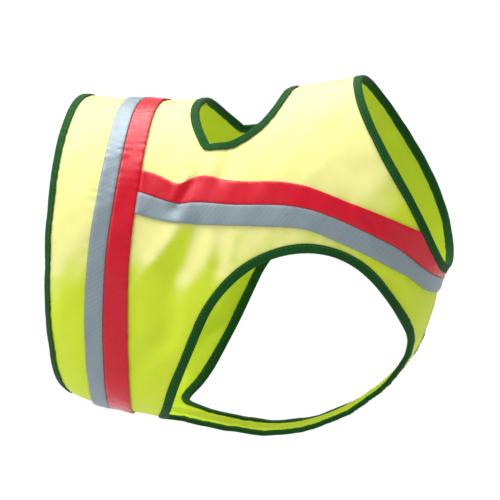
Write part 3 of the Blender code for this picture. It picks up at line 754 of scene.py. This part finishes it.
def panel(side, name, node, material):
    """One side panel, with the seam allowance of its centre edge turned inside."""
    places, cells = welded_cells(cloth_patches().values())
    if side == LEFT:
        cells = [cell[::-1] for cell in cells]
    copied, turned_cells = seam_allowance(places, cells)

    centred = np.isin(places[:, 1], (0.0, 1.0))
    points = cloth(places, side, CLOTH - SEAM_DIP * centred)
    points[centred, 1] = side * SEAM_GAP
    turned = cloth(places[copied], side, CLOTH - ALLOWANCE)
    turned[:, 1] = side * SEAM_GAP
    points = np.concatenate([points, turned])

    places = np.concatenate([places, places[copied]])
    flat = np.stack([places[:, 0], places[:, 1] * sampled(places)[4]], axis=1)
    flat[-len(copied):, 1] += ALLOWANCE
    piece = make_mesh(name, points, cells + turned_cells, flat, material)
    # Painted highlight: how far the outside faces the light, kept for the yellow's colour.
    outside = highlight_facing(piece.data)
    thicken(piece, PANEL_WALL)
    mark_painted_highlight(piece.data, outside)
    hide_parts(node)
    return piece


# ------------------------------------------------------------------ tapes
# Section of a tape's outer face, from its edge line to its middle: how far it lies inside that
# line, the largest share of the width that this may be, and how far it is below the tape's top.
TAPE_EDGE = ((0.45, 0.15, 0.3), (0.95, 0.25, 0.0), (3.0, 0.32, 0.0))
TAPE_MIDDLE = (0.35, 0.5, 0.65)     # shares of the width


def tape_grid(patch, side):
    """Outer face of a tape on one side, set in from its edges, which turn down a little."""
    first, last = patch[0], patch[-1]
    width = width_of(first, last)
    rows = [(np.minimum(inset / width, most), TAPE_TOP - drop) for inset, most, drop in TAPE_EDGE]
    middle = [(np.full_like(width, share), TAPE_TOP) for share in TAPE_MIDDLE]
    rows = rows + middle + [(1.0 - share, height) for share, height in rows[::-1]]
    return np.array([cloth(first + share * (last - first), side, height)
                     for share, height in rows])


def tape(band, shade, material):
    """One tape over both sides: a ring round the girth, or a strip from girth to girth."""
    wrap = band == "girth"
    patch = cloth_patches()[f"{band}_{shade}"]
    points = both_sides(lambda side: tape_grid(patch, side), wrap)
    rows, columns = points.shape[:2]
    faces = grid_faces(rows, columns, wrap, flip=not wrap)
    piece = make_mesh(f"{band}_{shade}_strip", points.reshape(-1, 3), faces,
                      flat_lengths(points), material)
    thicken(piece, TAPE_WALL)
    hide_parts(f"{band}_{shade}_tape")
    return piece


# ------------------------------------------------------------------ bindings
# Section of the binding's outer face: the share of the way from the end of a leaf to the cut
# edge, how far it stands past that edge, and its height over the inside of the cloth.
SECTION = (
    (0.00, 0.0, 2.20),
    (0.05, 0.0, 2.45),
    (0.25, 0.0, 2.55),
    (0.50, 0.0, 2.60),
    (0.75, 0.0, 2.60),
    (0.95, 0.0, 2.55),
    (1.00, 0.7, 2.30),
    (1.00, 1.3, 1.50),
    (1.00, 1.5, 0.60),
    (1.00, 1.3, -0.30),
    (1.00, 0.7, -1.10),
    (0.95, 0.0, -1.35),
    (0.50, 0.0, -1.40),
    (0.05, 0.0, -1.30),
    (0.00, 0.0, -1.10),
)
WIDTH_DRIFT = 0.035         # how much the visible width comes and goes, as a share
DRIFT_RUNS = (9.0, 23.0)    # lengths of a radian of the two waves in which it does


def binding_grid(patch, side, loop):
    """Outer face of a folded strip on one side: a row for each corner of its section."""
    seam, edge = patch[0], patch[-1]
    if loop:
        seam, edge = seam[:-1], edge[:-1]
    points, out = cloth(edge, side, 0.0), outward(edge, side)
    inner = cloth(seam, side, 0.0)
    if loop:
        run = np.roll(points, -1, axis=0) - np.roll(points, 1, axis=0)
    else:
        mirror = np.array([1.0, -1.0, 1.0])
        padded = np.concatenate([points[1:2] * mirror, points, points[-2:-1] * mirror])
        run = padded[2:] - padded[:-2]
    past = unit(np.cross(run, out))
    past = np.where(((points - inner) * past).sum(1)[:, None] > 0.0, past, -past)
    walked = lengths(points)[:, None]
    drift = WIDTH_DRIFT * (np.sin(walked / DRIFT_RUNS[0] + side) + np.sin(walked / DRIFT_RUNS[1]))
    rows = []
    for share, beyond, height in SECTION:
        if share < 1.0:
            wide = share + (1.0 - share) * drift * smooth_step(np.abs(points[:, 1:2]) / CENTRE_CALM)
            rows.append(cloth(seam + wide * (edge - seam), side, height))
        else:
            rows.append(points + beyond * past + height * out)
    return np.array(rows)


def binding(name, node, patch_name, material, side=None):
    """Folded strip round a cut edge, of one side's armhole or right across both sides."""
    patch = cloth_patches()[patch_name]
    if side is None:
        points = both_sides(lambda half: binding_grid(patch, half, False), True)
    else:
        points = binding_grid(patch, side, True)
    rows, columns = points.shape[:2]
    flips = {"hem_edge": False, "neck_edge": True, "hole_edge": True}
    flip = flips.get(patch_name, side == LEFT)
    piece = make_mesh(name, points.reshape(-1, 3), grid_faces(rows, columns, True, flip),
                      flat_lengths(points), material)
    thicken(piece, BINDING_WALL)
    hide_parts(node)
    return piece


# ------------------------------------------------------------------ stitches
# Rings of a stitch.  Columns: share of its length, height of its middle over the cloth.
STITCH_STATIONS = ((0.0, -0.30), (0.12, 0.02), (0.5, 0.16), (0.88, 0.02), (1.0, -0.30))
THREAD_SIDES = 5
SEAM_STEPS = 60         # steps of a stretch of the centre seam
STITCH_START = 0.1      # where the first stitch begins, as a share of a stitch and its gap
LOOK_AHEAD = 0.5        # distance over which the run of a sewn line is measured
SEAM_DISTANCE = 1.7     # from the centre seam to its stitches, as a share of the edge distance
OUTER_LEAF, INNER_LEAF = SECTION[2][2], SECTION[-2][2]  # heights of the binding where it is sewn


def stitch_rings(points, out, sewing):
    """Corners of every stitch along a line of points, stitch by stitch and ring by ring."""
    length, gap = sewing.stitch_length / MM, sewing.stitch_gap / MM
    radius = sewing.thread_width / MM / 2
    reach = lengths(points)
    count = max(1, int(reach[-1] / (length + gap)))
    begins = (np.arange(count) + STITCH_START) * reach[-1] / count
    rings = []
    for share, height in STITCH_STATIONS:
        at = begins + share * length
        here, up = read_at(at, reach, points), unit(read_at(at, reach, out))
        run = read_at(at + LOOK_AHEAD, reach, points) - read_at(at - LOOK_AHEAD, reach, points)
        aside = unit(np.cross(up, run))
        for k in range(THREAD_SIDES):
            turn = tau * k / THREAD_SIDES
            rings.append(here + radius * cos(turn) * aside + (height + radius * sin(turn)) * up)
    return np.array(rings).transpose(1, 0, 2)


def stitch_faces(base):
    """Faces of one closed stitch whose corners begin at base."""
    size = len(STITCH_STATIONS) * THREAD_SIDES
    faces = [[base + k for k in range(THREAD_SIDES)],
             [base + size - 1 - k for k in range(THREAD_SIDES)]]
    for ring in range(base, base + size - THREAD_SIDES, THREAD_SIDES):
        for k in range(THREAD_SIDES):
            n = (k + 1) % THREAD_SIDES
            faces.append([ring + k, ring + THREAD_SIDES + k, ring + THREAD_SIDES + n, ring + n])
    return faces


def stitching(name, rows, sewing, material):
    """One object of several rows of stitches."""
    made = np.concatenate([stitch_rings(points, out, sewing) for points, out in rows])
    stitches, corners = made.shape[:2]
    faces = [face for k in range(stitches) for face in stitch_faces(k * corners)]
    points = made.reshape(-1, 3)
    return make_mesh(name, points, faces, points[:, [0, 2]], material)


def sewn_row(places, side, height):
    """Line of points and their directions out, for stitches at a height over the cloth."""
    return cloth(places, side, height), outward(places, side)


def edge_row(patch, side, distance, height):
    """Stitched line beside the first line of a patch, at a distance in millimetres."""
    first, last = patch[0], patch[-1]
    return sewn_row(first + distance / width_of(first, last) * (last - first), side, height)


def tape_rows(sewing):
    """Stitched lines along both edges of every tape, on both sides."""
    patches, inset = cloth_patches(), sewing.edge_distance / MM
    rows = []
    for name in ("girth_silver", "girth_red", "chest_silver", "chest_red"):
        for side in (RIGHT, LEFT):
            rows.append(edge_row(patches[name], side, inset, TAPE_TOP))
            rows.append(edge_row(patches[name][::-1], side, inset, TAPE_TOP))
    return rows


def binding_rows(sewing):
    """Stitched lines on both leaves of every binding, on both sides."""
    patches, inset = cloth_patches(), sewing.edge_distance / MM
    rows = []
    for name in ("hem_edge", "neck_edge", "hole_edge", "armhole_edge"):
        for side in (RIGHT, LEFT):
            rows.append(edge_row(patches[name], side, inset, OUTER_LEAF))
            line, out = edge_row(patches[name], side, inset, INNER_LEAF)
            rows.append((line, -out))
    return rows


def seam_rows(sewing):
    """Stitched lines on both sides of the centre seam, where no tape covers it."""
    hole_seam, chest_low = hole_lines()[1], chest_lines()[2]
    ends = np.array([0.0, 1.0])
    hem, neck = binding_line(ends, 0.0, 1), binding_line(ends, NECK, -1)
    rear, front = girth_line(ends, 0.0), girth_line(ends, 1.0)
    stretches = [
        (hem[0], rear[0]), (front[0], hole_seam[0]), (hole_seam[-1], neck[0]),
        (hem[1], rear[1]), (front[1], chest_low[-1]),
    ]
    rows = []
    for start, end in stretches:
        line = straight(start, end, SEAM_STEPS)
        share = SEAM_DISTANCE * sewing.edge_distance / MM / sampled(line)[4]
        line[:, 1] += np.where(line[:, 1] > 0.5, -share, share)
        rows += [sewn_row(line, side, CLOTH) for side in (RIGHT, LEFT)]
    return rows


# ------------------------------------------------------------------ shader node groups
# Kinds of noise.  Columns: scale for each metre, detail, roughness.
BLOTCHES = (28.0, 3.0, 0.5)
GRAIN = (2600.0, 2.0, 0.6)
FLOOR_NOISE = (6.0, 3.0, 0.5)
MOST_NOISE = (0.3, 0.7)     # range that holds most of a noise
FULL = (0.0, 1.0)


def feed(tree, socket, value):
    """Links a socket to another one, or sets it to a plain number or colour."""
    if isinstance(value, bpy.types.NodeSocket):
        tree.links.new(value, socket)
    else:
        socket.default_value = value


def node_group(name, inputs, outputs):
    """Empty shader node group with its input and output nodes."""
    group = bpy.data.node_groups.new(name, "ShaderNodeTree")
    for label, kind in inputs:
        group.interface.new_socket(label, in_out="INPUT", socket_type=kind)
    for label, kind in outputs:
        group.interface.new_socket(label, in_out="OUTPUT", socket_type=kind)
    return group, group.nodes.new("NodeGroupInput"), group.nodes.new("NodeGroupOutput")


def calc(tree, operation, *values):
    """Math node fed by sockets or plain numbers; gives its output socket."""
    node = tree.nodes.new("ShaderNodeMath")
    node.operation = operation
    for socket, value in zip(node.inputs, values):
        feed(tree, socket, value)
    return node.outputs[0]


def wave(tree, position, pitch):
    """Wave from -1 to 1 along a position, of the given pitch."""
    return calc(tree, "SINE", calc(tree, "MULTIPLY", calc(tree, "DIVIDE", position, pitch), tau))


def noise(tree, vector, kind):
    """Noise texture of a kind; gives its factor."""
    scale, detail, roughness = kind
    node = tree.nodes.new("ShaderNodeTexNoise")
    tree.links.new(vector, node.inputs["Vector"])
    node.inputs["Scale"].default_value = scale
    node.inputs["Detail"].default_value = detail
    node.inputs["Roughness"].default_value = roughness
    return node.outputs["Fac"]


def spread(tree, value, given, wanted, smooth=False):
    """Value moved from one range to another and held inside it, with soft ends if smooth."""
    node = tree.nodes.new("ShaderNodeMapRange")
    node.interpolation_type = "SMOOTHSTEP" if smooth else "LINEAR"
    tree.links.new(value, node.inputs["Value"])
    node.inputs["From Min"].default_value, node.inputs["From Max"].default_value = given
    node.inputs["To Min"].default_value, node.inputs["To Max"].default_value = wanted
    return node.outputs["Result"]


def weave_group():
    """Threads that cross at right angles: their height over a flat position in metres."""
    group, given, made = node_group(
        "crossed_threads",
        (("Position", "NodeSocketVector"), ("Pitch Along", "NodeSocketFloat"),
         ("Pitch Across", "NodeSocketFloat")),
        (("Height", "NodeSocketFloat"),))
    parts = group.nodes.new("ShaderNodeSeparateXYZ")
    group.links.new(given.outputs["Position"], parts.inputs[0])
    along = wave(group, parts.outputs["X"], given.outputs["Pitch Along"])
    across = wave(group, parts.outputs["Y"], given.outputs["Pitch Across"])
    over = calc(group, "MULTIPLY", along, across)
    group.links.new(calc(group, "MULTIPLY_ADD", over, 0.5, 0.5), made.inputs["Height"])
    return group


def mottle_group():
    """Soft blotches and fine grain that change over the surface, each from 0 to 1."""
    group, given, made = node_group(
        "mottle",
        (("Position", "NodeSocketVector"),),
        (("Blotches", "NodeSocketFloat"), ("Grain", "NodeSocketFloat")))
    for label, kind in (("Blotches", BLOTCHES), ("Grain", GRAIN)):
        factor = noise(group, given.outputs["Position"], kind)
        group.links.new(spread(group, factor, MOST_NOISE, FULL), made.inputs[label])
    return group


# ------------------------------------------------------------------ materials
# Roughness over the grain or the blotches, and depth of the bump in metres.
CLOTH_ROUGHNESS, CLOTH_BUMP = (0.50, 0.62), 0.00012
RED_ROUGHNESS, RED_BUMP = (0.22, 0.30), 0.00004
SILVER_ROUGHNESS, SILVER_BUMP = (0.42, 0.60), 0.00004
BINDING_ROUGHNESS, BINDING_BUMP = (0.75, 0.95), 0.0002
THREAD_ROUGHNESS = (0.5, 0.7)

# Shades of a colour, as a factor, and how far they are mixed in.
CLOTH_BLOTCH, CLOTH_SHADOW, SHADOW_MIX = 0.93, 0.75, 0.22
CLOTH_PITCH_RATIO = 0.8     # pitch of the threads across over that of the threads along
CLOTH_GRAIN = 0.4           # height of the grain beside the threads
HIGHLIGHT_BLOTCH = 0.06          # how much the blotches move the edge of the painted highlight
RED_BLOTCH, RED_GRAIN = 0.88, 0.3
SILVER_DARK, SILVER_PALE = 0.72, 1.15       # of its grain
RUB_SHADE, RUB_MIX, RUB_HEIGHT = 1.35, 0.3, 0.5
RUB_SLANT = 0.8             # how far the rubs lean, as rise over run
RUBS_SHOWN = (0.1, 1.0)     # part of the wave that shows as rubs
# Ribs of the binding: painted shade in the valleys, and paler tops that are partly painted highlight
# and partly wear.
RIB_VALLEY_SHADE, RIB_TOP_LIGHT_AND_WEAR = 0.55, 1.3
RIB_PITCH_RATIO = 1.5
RIB_LIGHT_AND_WEAR = (0.5, 1.0)       # least and most of the paler rib tops, painted highlight and wear, over the blotches
# painted shade in the grooves of a thread's twist
TWIST_SHADE = 0.8
COAT_PITCH, RUB_PITCH, TWIST_PITCH = 0.0009, 0.0042, 0.0008     # in metres


class Finish:
    """One material in the making: its node tree, shader, flat position and mottle."""

    def __init__(self, name, groups):
        self.material = bpy.data.materials.new(name)
        self.material.use_nodes = True
        self.tree = self.material.node_tree
        self.shader = self.tree.nodes["Principled BSDF"]
        self.groups = groups
        flat = self.tree.nodes.new("ShaderNodeUVMap")
        flat.uv_map = "cloth"
        self.position = flat.outputs["UV"]
        solid = self.tree.nodes.new("ShaderNodeTexCoord")
        mottle = self.placed("mottle")
        self.tree.links.new(solid.outputs["Object"], mottle.inputs["Position"])
        self.blotches = mottle.outputs["Blotches"]
        self.grain = mottle.outputs["Grain"]

    def placed(self, group):
        """Node of one of the node groups."""
        node = self.tree.nodes.new("ShaderNodeGroup")
        node.node_tree = self.groups[group]
        return node

    def threads(self, pitch_along, pitch_across):
        """Height of crossed threads on the flat cloth."""
        node = self.placed("weave")
        self.tree.links.new(self.position, node.inputs["Position"])
        node.inputs["Pitch Along"].default_value = pitch_along
        node.inputs["Pitch Across"].default_value = pitch_across
        return node.outputs["Height"]

    def calc(self, operation, *values):
        """Math node of the material."""
        return calc(self.tree, operation, *values)

    def blend(self, mask, first, second):
        """Colour between two colours or colour sockets, by a mask."""
        node = self.tree.nodes.new("ShaderNodeMix")
        node.data_type = "RGBA"
        self.tree.links.new(mask, node.inputs["Factor"])
        feed(self.tree, node.inputs[6], first)
        feed(self.tree, node.inputs[7], second)
        return node.outputs[2]

    def surface(self, colour, roughness, over):
        """Feeds the colour, and a range of roughness over a value from 0 to 1."""
        self.tree.links.new(colour, self.shader.inputs["Base Color"])
        spread_roughness = spread(self.tree, over, FULL, roughness)
        self.tree.links.new(spread_roughness, self.shader.inputs["Roughness"])

    def bump(self, height, depth):
        """Feeds the shader's normal from a height from 0 to 1 over a depth in metres."""
        node = self.tree.nodes.new("ShaderNodeBump")
        node.inputs["Strength"].default_value = 1.0
        node.inputs["Distance"].default_value = depth
        self.tree.links.new(height, node.inputs["Height"])
        self.tree.links.new(node.outputs["Normal"], self.shader.inputs["Normal"])

    def constants(self, **values):
        """Sets sockets of the shader to plain values, named with _ for a space."""
        for label, value in values.items():
            self.shader.inputs[label.replace("_", " ")].default_value = value


def shade_of(colour, factor=1.0):
    """A property's colour made darker or paler, with its alpha."""
    return (*(channel * factor for channel in colour), 1.0)


def yellow_cloth(groups, look):
    """Fluorescent woven cloth: matt, with a painted highlight where it faces up and back, uneven in
    tone.
    """
    finish, yellow = Finish("yellow_cloth", groups), look.yellow
    threads = finish.threads(look.weave_pitch, look.weave_pitch * CLOTH_PITCH_RATIO)
    marked = finish.tree.nodes.new("ShaderNodeAttribute")
    marked.attribute_name = "painted_highlight"
    # Painted highlight: the yellow is painted paler where the cloth faces the light, less low on the
    # flank.
    uneven = finish.calc("MULTIPLY_ADD", finish.blotches, HIGHLIGHT_BLOTCH, marked.outputs["Fac"])
    painted_highlight = spread(finish.tree, uneven, HIGHLIGHT_RANGE, FULL, smooth=True)
    mottled = finish.blend(finish.blotches, shade_of(yellow), shade_of(yellow, CLOTH_BLOTCH))
    tone = finish.blend(painted_highlight, mottled, shade_of(look.highlight_yellow))
    shadow = finish.calc("MULTIPLY", finish.calc("SUBTRACT", 1.0, threads), SHADOW_MIX)
    finish.surface(finish.blend(shadow, tone, shade_of(yellow, CLOTH_SHADOW)),
                   CLOTH_ROUGHNESS, finish.grain)
    grain = finish.calc("MULTIPLY", finish.grain, CLOTH_GRAIN)
    finish.bump(finish.calc("ADD", threads, grain), CLOTH_BUMP)
    finish.constants(Specular_IOR_Level=0.45)
    return finish.material


def red_tape(groups, look):
    """Coated fluorescent red tape: smooth, with a soft gloss that scuffs have dulled."""
    finish, red = Finish("red_tape", groups), look.red
    threads = finish.threads(COAT_PITCH, COAT_PITCH)
    tone = finish.blend(finish.blotches, shade_of(red), shade_of(red, RED_BLOTCH))
    finish.surface(tone, RED_ROUGHNESS, finish.blotches)
    finish.bump(finish.calc("MULTIPLY_ADD", finish.grain, RED_GRAIN, threads), RED_BUMP)
    finish.constants(Specular_IOR_Level=0.35)
    return finish.material


def silver_tape(groups, look):
    """Glass-bead reflective tape: grey, fine grained, with faint slanting rubs."""
    finish, silver = Finish("silver_tape", groups), look.silver
    parts = finish.tree.nodes.new("ShaderNodeSeparateXYZ")
    finish.tree.links.new(finish.position, parts.inputs[0])
    lean = finish.calc("MULTIPLY", parts.outputs["Y"], RUB_SLANT)
    slant = finish.calc("ADD", parts.outputs["X"], lean)
    streaks = spread(finish.tree, wave(finish.tree, slant, RUB_PITCH), RUBS_SHOWN, FULL)
    rubs = finish.calc("MULTIPLY", streaks, finish.blotches)
    speckled = finish.blend(finish.grain, shade_of(silver, SILVER_DARK),
                            shade_of(silver, SILVER_PALE))
    rubbed = finish.calc("MULTIPLY", rubs, RUB_MIX)
    finish.surface(finish.blend(rubbed, speckled, shade_of(silver, RUB_SHADE)),
                   SILVER_ROUGHNESS, finish.grain)
    finish.bump(finish.calc("MULTIPLY_ADD", rubs, RUB_HEIGHT, finish.grain), SILVER_BUMP)
    finish.constants(Metallic=0.35)
    return finish.material


def green_binding(groups, look):
    """Dark green ribbed strip, with painted shade in the rib valleys and paler rib tops, partly
    painted highlight and partly wear.
    """
    finish, green = Finish("green_binding", groups), look.green
    ribs = finish.threads(look.rib_pitch, look.rib_pitch * RIB_PITCH_RATIO)
    light_and_wear = spread(finish.tree, finish.blotches, FULL, RIB_LIGHT_AND_WEAR)
    lit_worn_tops = finish.calc("MULTIPLY", ribs, light_and_wear)
    finish.surface(finish.blend(lit_worn_tops, shade_of(green, RIB_VALLEY_SHADE), shade_of(green, RIB_TOP_LIGHT_AND_WEAR)),
                   BINDING_ROUGHNESS, finish.grain)
    finish.bump(ribs, BINDING_BUMP)
    finish.constants(Sheen_Weight=0.05, Sheen_Roughness=0.5, Specular_IOR_Level=0.15)
    return finish.material


def thread(groups, name, colour):
    """Sewing thread with a faint twist, and painted shade in its grooves."""
    finish = Finish(name, groups)
    twist = finish.threads(TWIST_PITCH, TWIST_PITCH)
    finish.surface(finish.blend(twist, shade_of(colour, TWIST_SHADE), shade_of(colour)),
                   THREAD_ROUGHNESS, finish.grain)
    finish.constants(Specular_IOR_Level=0.35)
    return finish.material


@lru_cache(maxsize=None)
def finishes():
    """Every material of the vest, by name."""
    look = bpy.context.scene.vest_look
    groups = {"weave": weave_group(), "mottle": mottle_group()}
    return {
        "hi_vis_yellow": yellow_cloth(groups, look),
        "red_tape": red_tape(groups, look),
        "silver_tape": silver_tape(groups, look),
        "green_binding": green_binding(groups, look),
        "yellow_thread": thread(groups, "yellow_thread", look.yellow_thread),
        "green_thread": thread(groups, "green_thread", look.green_thread),
    }


# ------------------------------------------------------------------ stage
OVERHEAD = (-0.3, 0.15, 1.0)    # towards the main light
KEY = (-0.9, -1.0, 0.7)         # towards the light at the camera's left
FLOOR_ROUGHNESS = (0.8, 0.9)


def pale_floor(stage):
    """Large, pale, matt floor below the vest."""
    size = stage.floor_size / 2
    mesh = bpy.data.meshes.new("floor")
    corners = [(-size, -size), (size, -size), (size, size), (-size, size)]
    mesh.from_pydata([(x, y, stage.floor_height) for x, y in corners], [], [(0, 1, 2, 3)])
    material = bpy.data.materials.new("floor_paint")
    material.use_nodes = True
    tree = material.node_tree
    shader = tree.nodes["Principled BSDF"]
    solid = tree.nodes.new("ShaderNodeTexCoord")
    uneven = noise(tree, solid.outputs["Object"], FLOOR_NOISE)
    roughness = spread(tree, uneven, MOST_NOISE, FLOOR_ROUGHNESS)
    tree.links.new(roughness, shader.inputs["Roughness"])
    shader.inputs["Base Color"].default_value = shade_of(stage.floor_colour)
    mesh.materials.append(material)
    floor = bpy.data.objects.new("floor", mesh)
    bpy.context.scene.collection.objects.link(floor)


def soft_sun(name, towards, strength, angle):
    """Even light from one direction, as wide as an angle of the sky."""
    light = bpy.data.lights.new(name, "SUN")
    light.energy = strength
    light.angle = angle
    lamp = bpy.data.objects.new(name, light)
    bpy.context.scene.collection.objects.link(lamp)
    lamp.rotation_euler = (-Vector(towards)).to_track_quat("-Z", "Y").to_euler()


def pale_surroundings(strength):
    """Even white light from all round."""
    world = bpy.data.worlds.new("pale_surroundings")
    world.use_nodes = True
    background = world.node_tree.nodes["Background"]
    background.inputs["Color"].default_value = (1.0, 1.0, 1.0, 1.0)
    background.inputs["Strength"].default_value = strength
    bpy.context.scene.world = world


def viewpoint(stage):
    """Camera at the photo's viewing angle."""
    azimuth, elevation = stage.azimuth, stage.elevation
    back = Vector((sin(azimuth) * cos(elevation), -cos(azimuth) * cos(elevation), sin(elevation)))
    data = bpy.data.cameras.new("viewpoint")
    data.angle = stage.field_of_view
    camera = bpy.data.objects.new("viewpoint", data)
    bpy.context.scene.collection.objects.link(camera)
    camera.location = Vector(stage.aim) + back * stage.distance
    camera.rotation_euler = (-back).to_track_quat("-Z", "Y").to_euler()
    bpy.context.scene.camera = camera


# ------------------------------------------------------------------ properties
def colour_property(name, description, default):
    return FloatVectorProperty(name=name, description=description, default=default,
                               subtype="COLOR", size=3, min=0.0, max=1.0)


def length_property(name, description, default):
    return FloatProperty(name=name, description=description, default=default, min=0.0,
                         subtype="DISTANCE", unit="LENGTH", precision=5)


def angle_property(name, description, degrees):
    return FloatProperty(name=name, description=description, default=radians(degrees),
                         subtype="ANGLE", unit="ROTATION")


def light_property(name, description, default):
    return FloatProperty(name=name, description=description, default=default, min=0.0)


class VestLook(bpy.types.PropertyGroup):
    """Colours and fine structure of the cloth"""
    yellow: colour_property("Yellow", "Colour of the panels", (0.64, 0.80, 0.012))
    # Colour of the painted highlight on the panels, where they face up and back.
    highlight_yellow: colour_property("Faded yellow", "Colour of the panels where they face up",
                                  (0.84, 0.81, 0.30))
    red: colour_property("Red", "Colour of the red tape", (0.60, 0.002, 0.018))
    silver: colour_property("Silver", "Colour of the reflective tape", (0.24, 0.30, 0.335))
    green: colour_property("Green", "Colour of the binding", (0.006, 0.075, 0.010))
    yellow_thread: colour_property("Yellow thread", "Thread on tapes and seams", (0.75, 0.72, 0.12))
    green_thread: colour_property("Green thread", "Thread on the binding", (0.045, 0.16, 0.05))
    weave_pitch: length_property("Weave pitch", "Distance between threads of the cloth", 0.0011)
    rib_pitch: length_property("Rib pitch", "Distance between ribs of the binding", 0.0013)


class VestSewing(bpy.types.PropertyGroup):
    """Sizes of the stitches"""
    stitch_length: length_property("Stitch length", "Visible length of a stitch", 0.0028)
    stitch_gap: length_property("Stitch gap", "Space between two stitches", 0.0009)
    thread_width: length_property("Thread width", "Thickness of the thread", 0.00042)
    edge_distance: length_property("Edge distance", "From a sewn edge to its stitches", 0.0015)


class VestStage(bpy.types.PropertyGroup):
    """Floor, light and camera"""
    floor_height: FloatProperty(name="Floor height", description="Floor below the withers",
                                default=-0.568, subtype="DISTANCE", unit="LENGTH")
    floor_size: length_property("Floor size", "Side of the square floor", 40.0)
    floor_colour: colour_property("Floor colour", "Paint of the floor", (0.45, 0.45, 0.45))
    surroundings: light_property("Surroundings", "Light from all round", 0.42)
    overhead_strength: light_property("Overhead strength", "Main light, from above", 5.6)
    overhead_angle: angle_property("Overhead angle", "How wide the main light is", 66.0)
    key_strength: light_property("Key strength", "Light from the camera's left", 0.8)
    key_angle: angle_property("Key angle", "How wide the light from the left is", 45.0)
    aim: FloatVectorProperty(name="Aim", description="Point in the middle of the view",
                             default=(-0.063, 0.0, -0.1392), subtype="TRANSLATION", unit="LENGTH")
    azimuth: angle_property("Azimuth", "Camera's turn round the vest", 12.0)
    elevation: angle_property("Elevation", "Camera's angle above the horizon", 9.0)
    field_of_view: angle_property("Field of view", "Angle that the view takes in", 9.9)
    distance: length_property("Distance", "From the camera to the middle of the view", 2.4)


# ------------------------------------------------------------------ operators
PANELS = ("right_panel_cloth", "left_panel_cloth")

# Flat sizes of the sheets, in metres.
TAPE_LENGTHS = {"girth": 0.75, "chest": 0.62}
TAPE_WIDTHS = {"silver": 0.016, "red": 0.018}
BINDING_LENGTHS = {"hem": 0.72, "neck": 0.47, "hole": 0.30}


class VEST_OT_panels(bpy.types.Operator):
    """Make the two side panels"""
    bl_idname = "vest.panels"
    bl_label = "Side panels"

    def execute(self, context):
        cloth_finish = finishes()["hi_vis_yellow"]
        for side, name, node in zip((RIGHT, LEFT), PANELS, ("panel_right", "panel_left")):
            piece = panel(side, name, node, cloth_finish)
        return {"FINISHED"}


class VEST_OT_tapes(bpy.types.Operator):
    """Make the tapes round the girth and the chest"""
    bl_idname = "vest.tapes"
    bl_label = "Tapes"

    def execute(self, context):
        for band, length in TAPE_LENGTHS.items():
            for shade, width in TAPE_WIDTHS.items():
                piece = tape(band, shade, finishes()[f"{shade}_tape"])
        return {"FINISHED"}


class VEST_OT_bindings(bpy.types.Operator):
    """Make the folded bindings of every edge"""
    bl_idname = "vest.bindings"
    bl_label = "Bindings"

    def execute(self, context):
        material = finishes()["green_binding"]
        for edge, length in BINDING_LENGTHS.items():
            piece = binding(f"{edge}_strip", f"{edge}_binding", f"{edge}_edge", material)
        for side, word in ((RIGHT, "right"), (LEFT, "left")):
            piece = binding(f"{word}_armhole_strip", f"armhole_binding_{word}", "armhole_edge",
                            material, side)
        return {"FINISHED"}


class VEST_OT_stitching(bpy.types.Operator):
    """Sew the tapes, the bindings and the centre seam"""
    bl_idname = "vest.stitching"
    bl_label = "Stitching"

    def execute(self, context):
        sewing, made = context.scene.vest_sewing, finishes()
        stitching("tape_stitches", tape_rows(sewing), sewing, made["yellow_thread"])
        stitching("binding_stitches", binding_rows(sewing), sewing, made["green_thread"])
        stitching("seam_stitches", seam_rows(sewing), sewing, made["yellow_thread"])
        return {"FINISHED"}


class VEST_OT_stage(bpy.types.Operator):
    """Set the floor, the light and the camera"""
    bl_idname = "vest.stage"
    bl_label = "Stage"

    def execute(self, context):
        stage = context.scene.vest_stage
        pale_floor(stage)
        pale_surroundings(stage.surroundings)
        soft_sun("overhead", OVERHEAD, stage.overhead_strength, stage.overhead_angle)
        soft_sun("key", KEY, stage.key_strength, stage.key_angle)
        context.scene.view_settings.view_transform = "Standard"
        viewpoint(stage)
        return {"FINISHED"}


class VEST_PT_sidebar(bpy.types.Panel):
    """Lists the steps and the values of the vest"""
    bl_label = "Dog Safety Vest"
    bl_space_type = "VIEW_3D"
    bl_region_type = "UI"
    bl_category = "Vest"

    def draw(self, context):
        for step in STEPS:
            self.layout.operator(step.bl_idname)
        for name in PROPERTIES:
            group = getattr(context.scene, name)
            for label in type(group).__annotations__:
                self.layout.prop(group, label)


STEPS = (VEST_OT_panels, VEST_OT_tapes, VEST_OT_bindings, VEST_OT_stitching, VEST_OT_stage)
PROPERTIES = {"vest_look": VestLook, "vest_sewing": VestSewing, "vest_stage": VestStage}
CLASSES = (*PROPERTIES.values(), *STEPS, VEST_PT_sidebar)


def register():
    """Makes the operators, the panel and the properties known to Blender."""
    for cls in CLASSES:
        bpy.utils.register_class(cls)
    for name, cls in PROPERTIES.items():
        setattr(bpy.types.Scene, name, PointerProperty(type=cls))


def unregister():
    """Takes them out again."""
    for name in PROPERTIES:
        delattr(bpy.types.Scene, name)
    for cls in reversed(CLASSES):
        bpy.utils.unregister_class(cls)


def main():
    """Makes the vest and its stage."""
    register()
    bpy.ops.object.select_all(action="DESELECT")
    bpy.ops.vest.panels()
    bpy.ops.vest.tapes()
    bpy.ops.vest.bindings()
    bpy.ops.vest.stitching()
    bpy.ops.vest.stage()


if __name__ == "__main__":
    main()
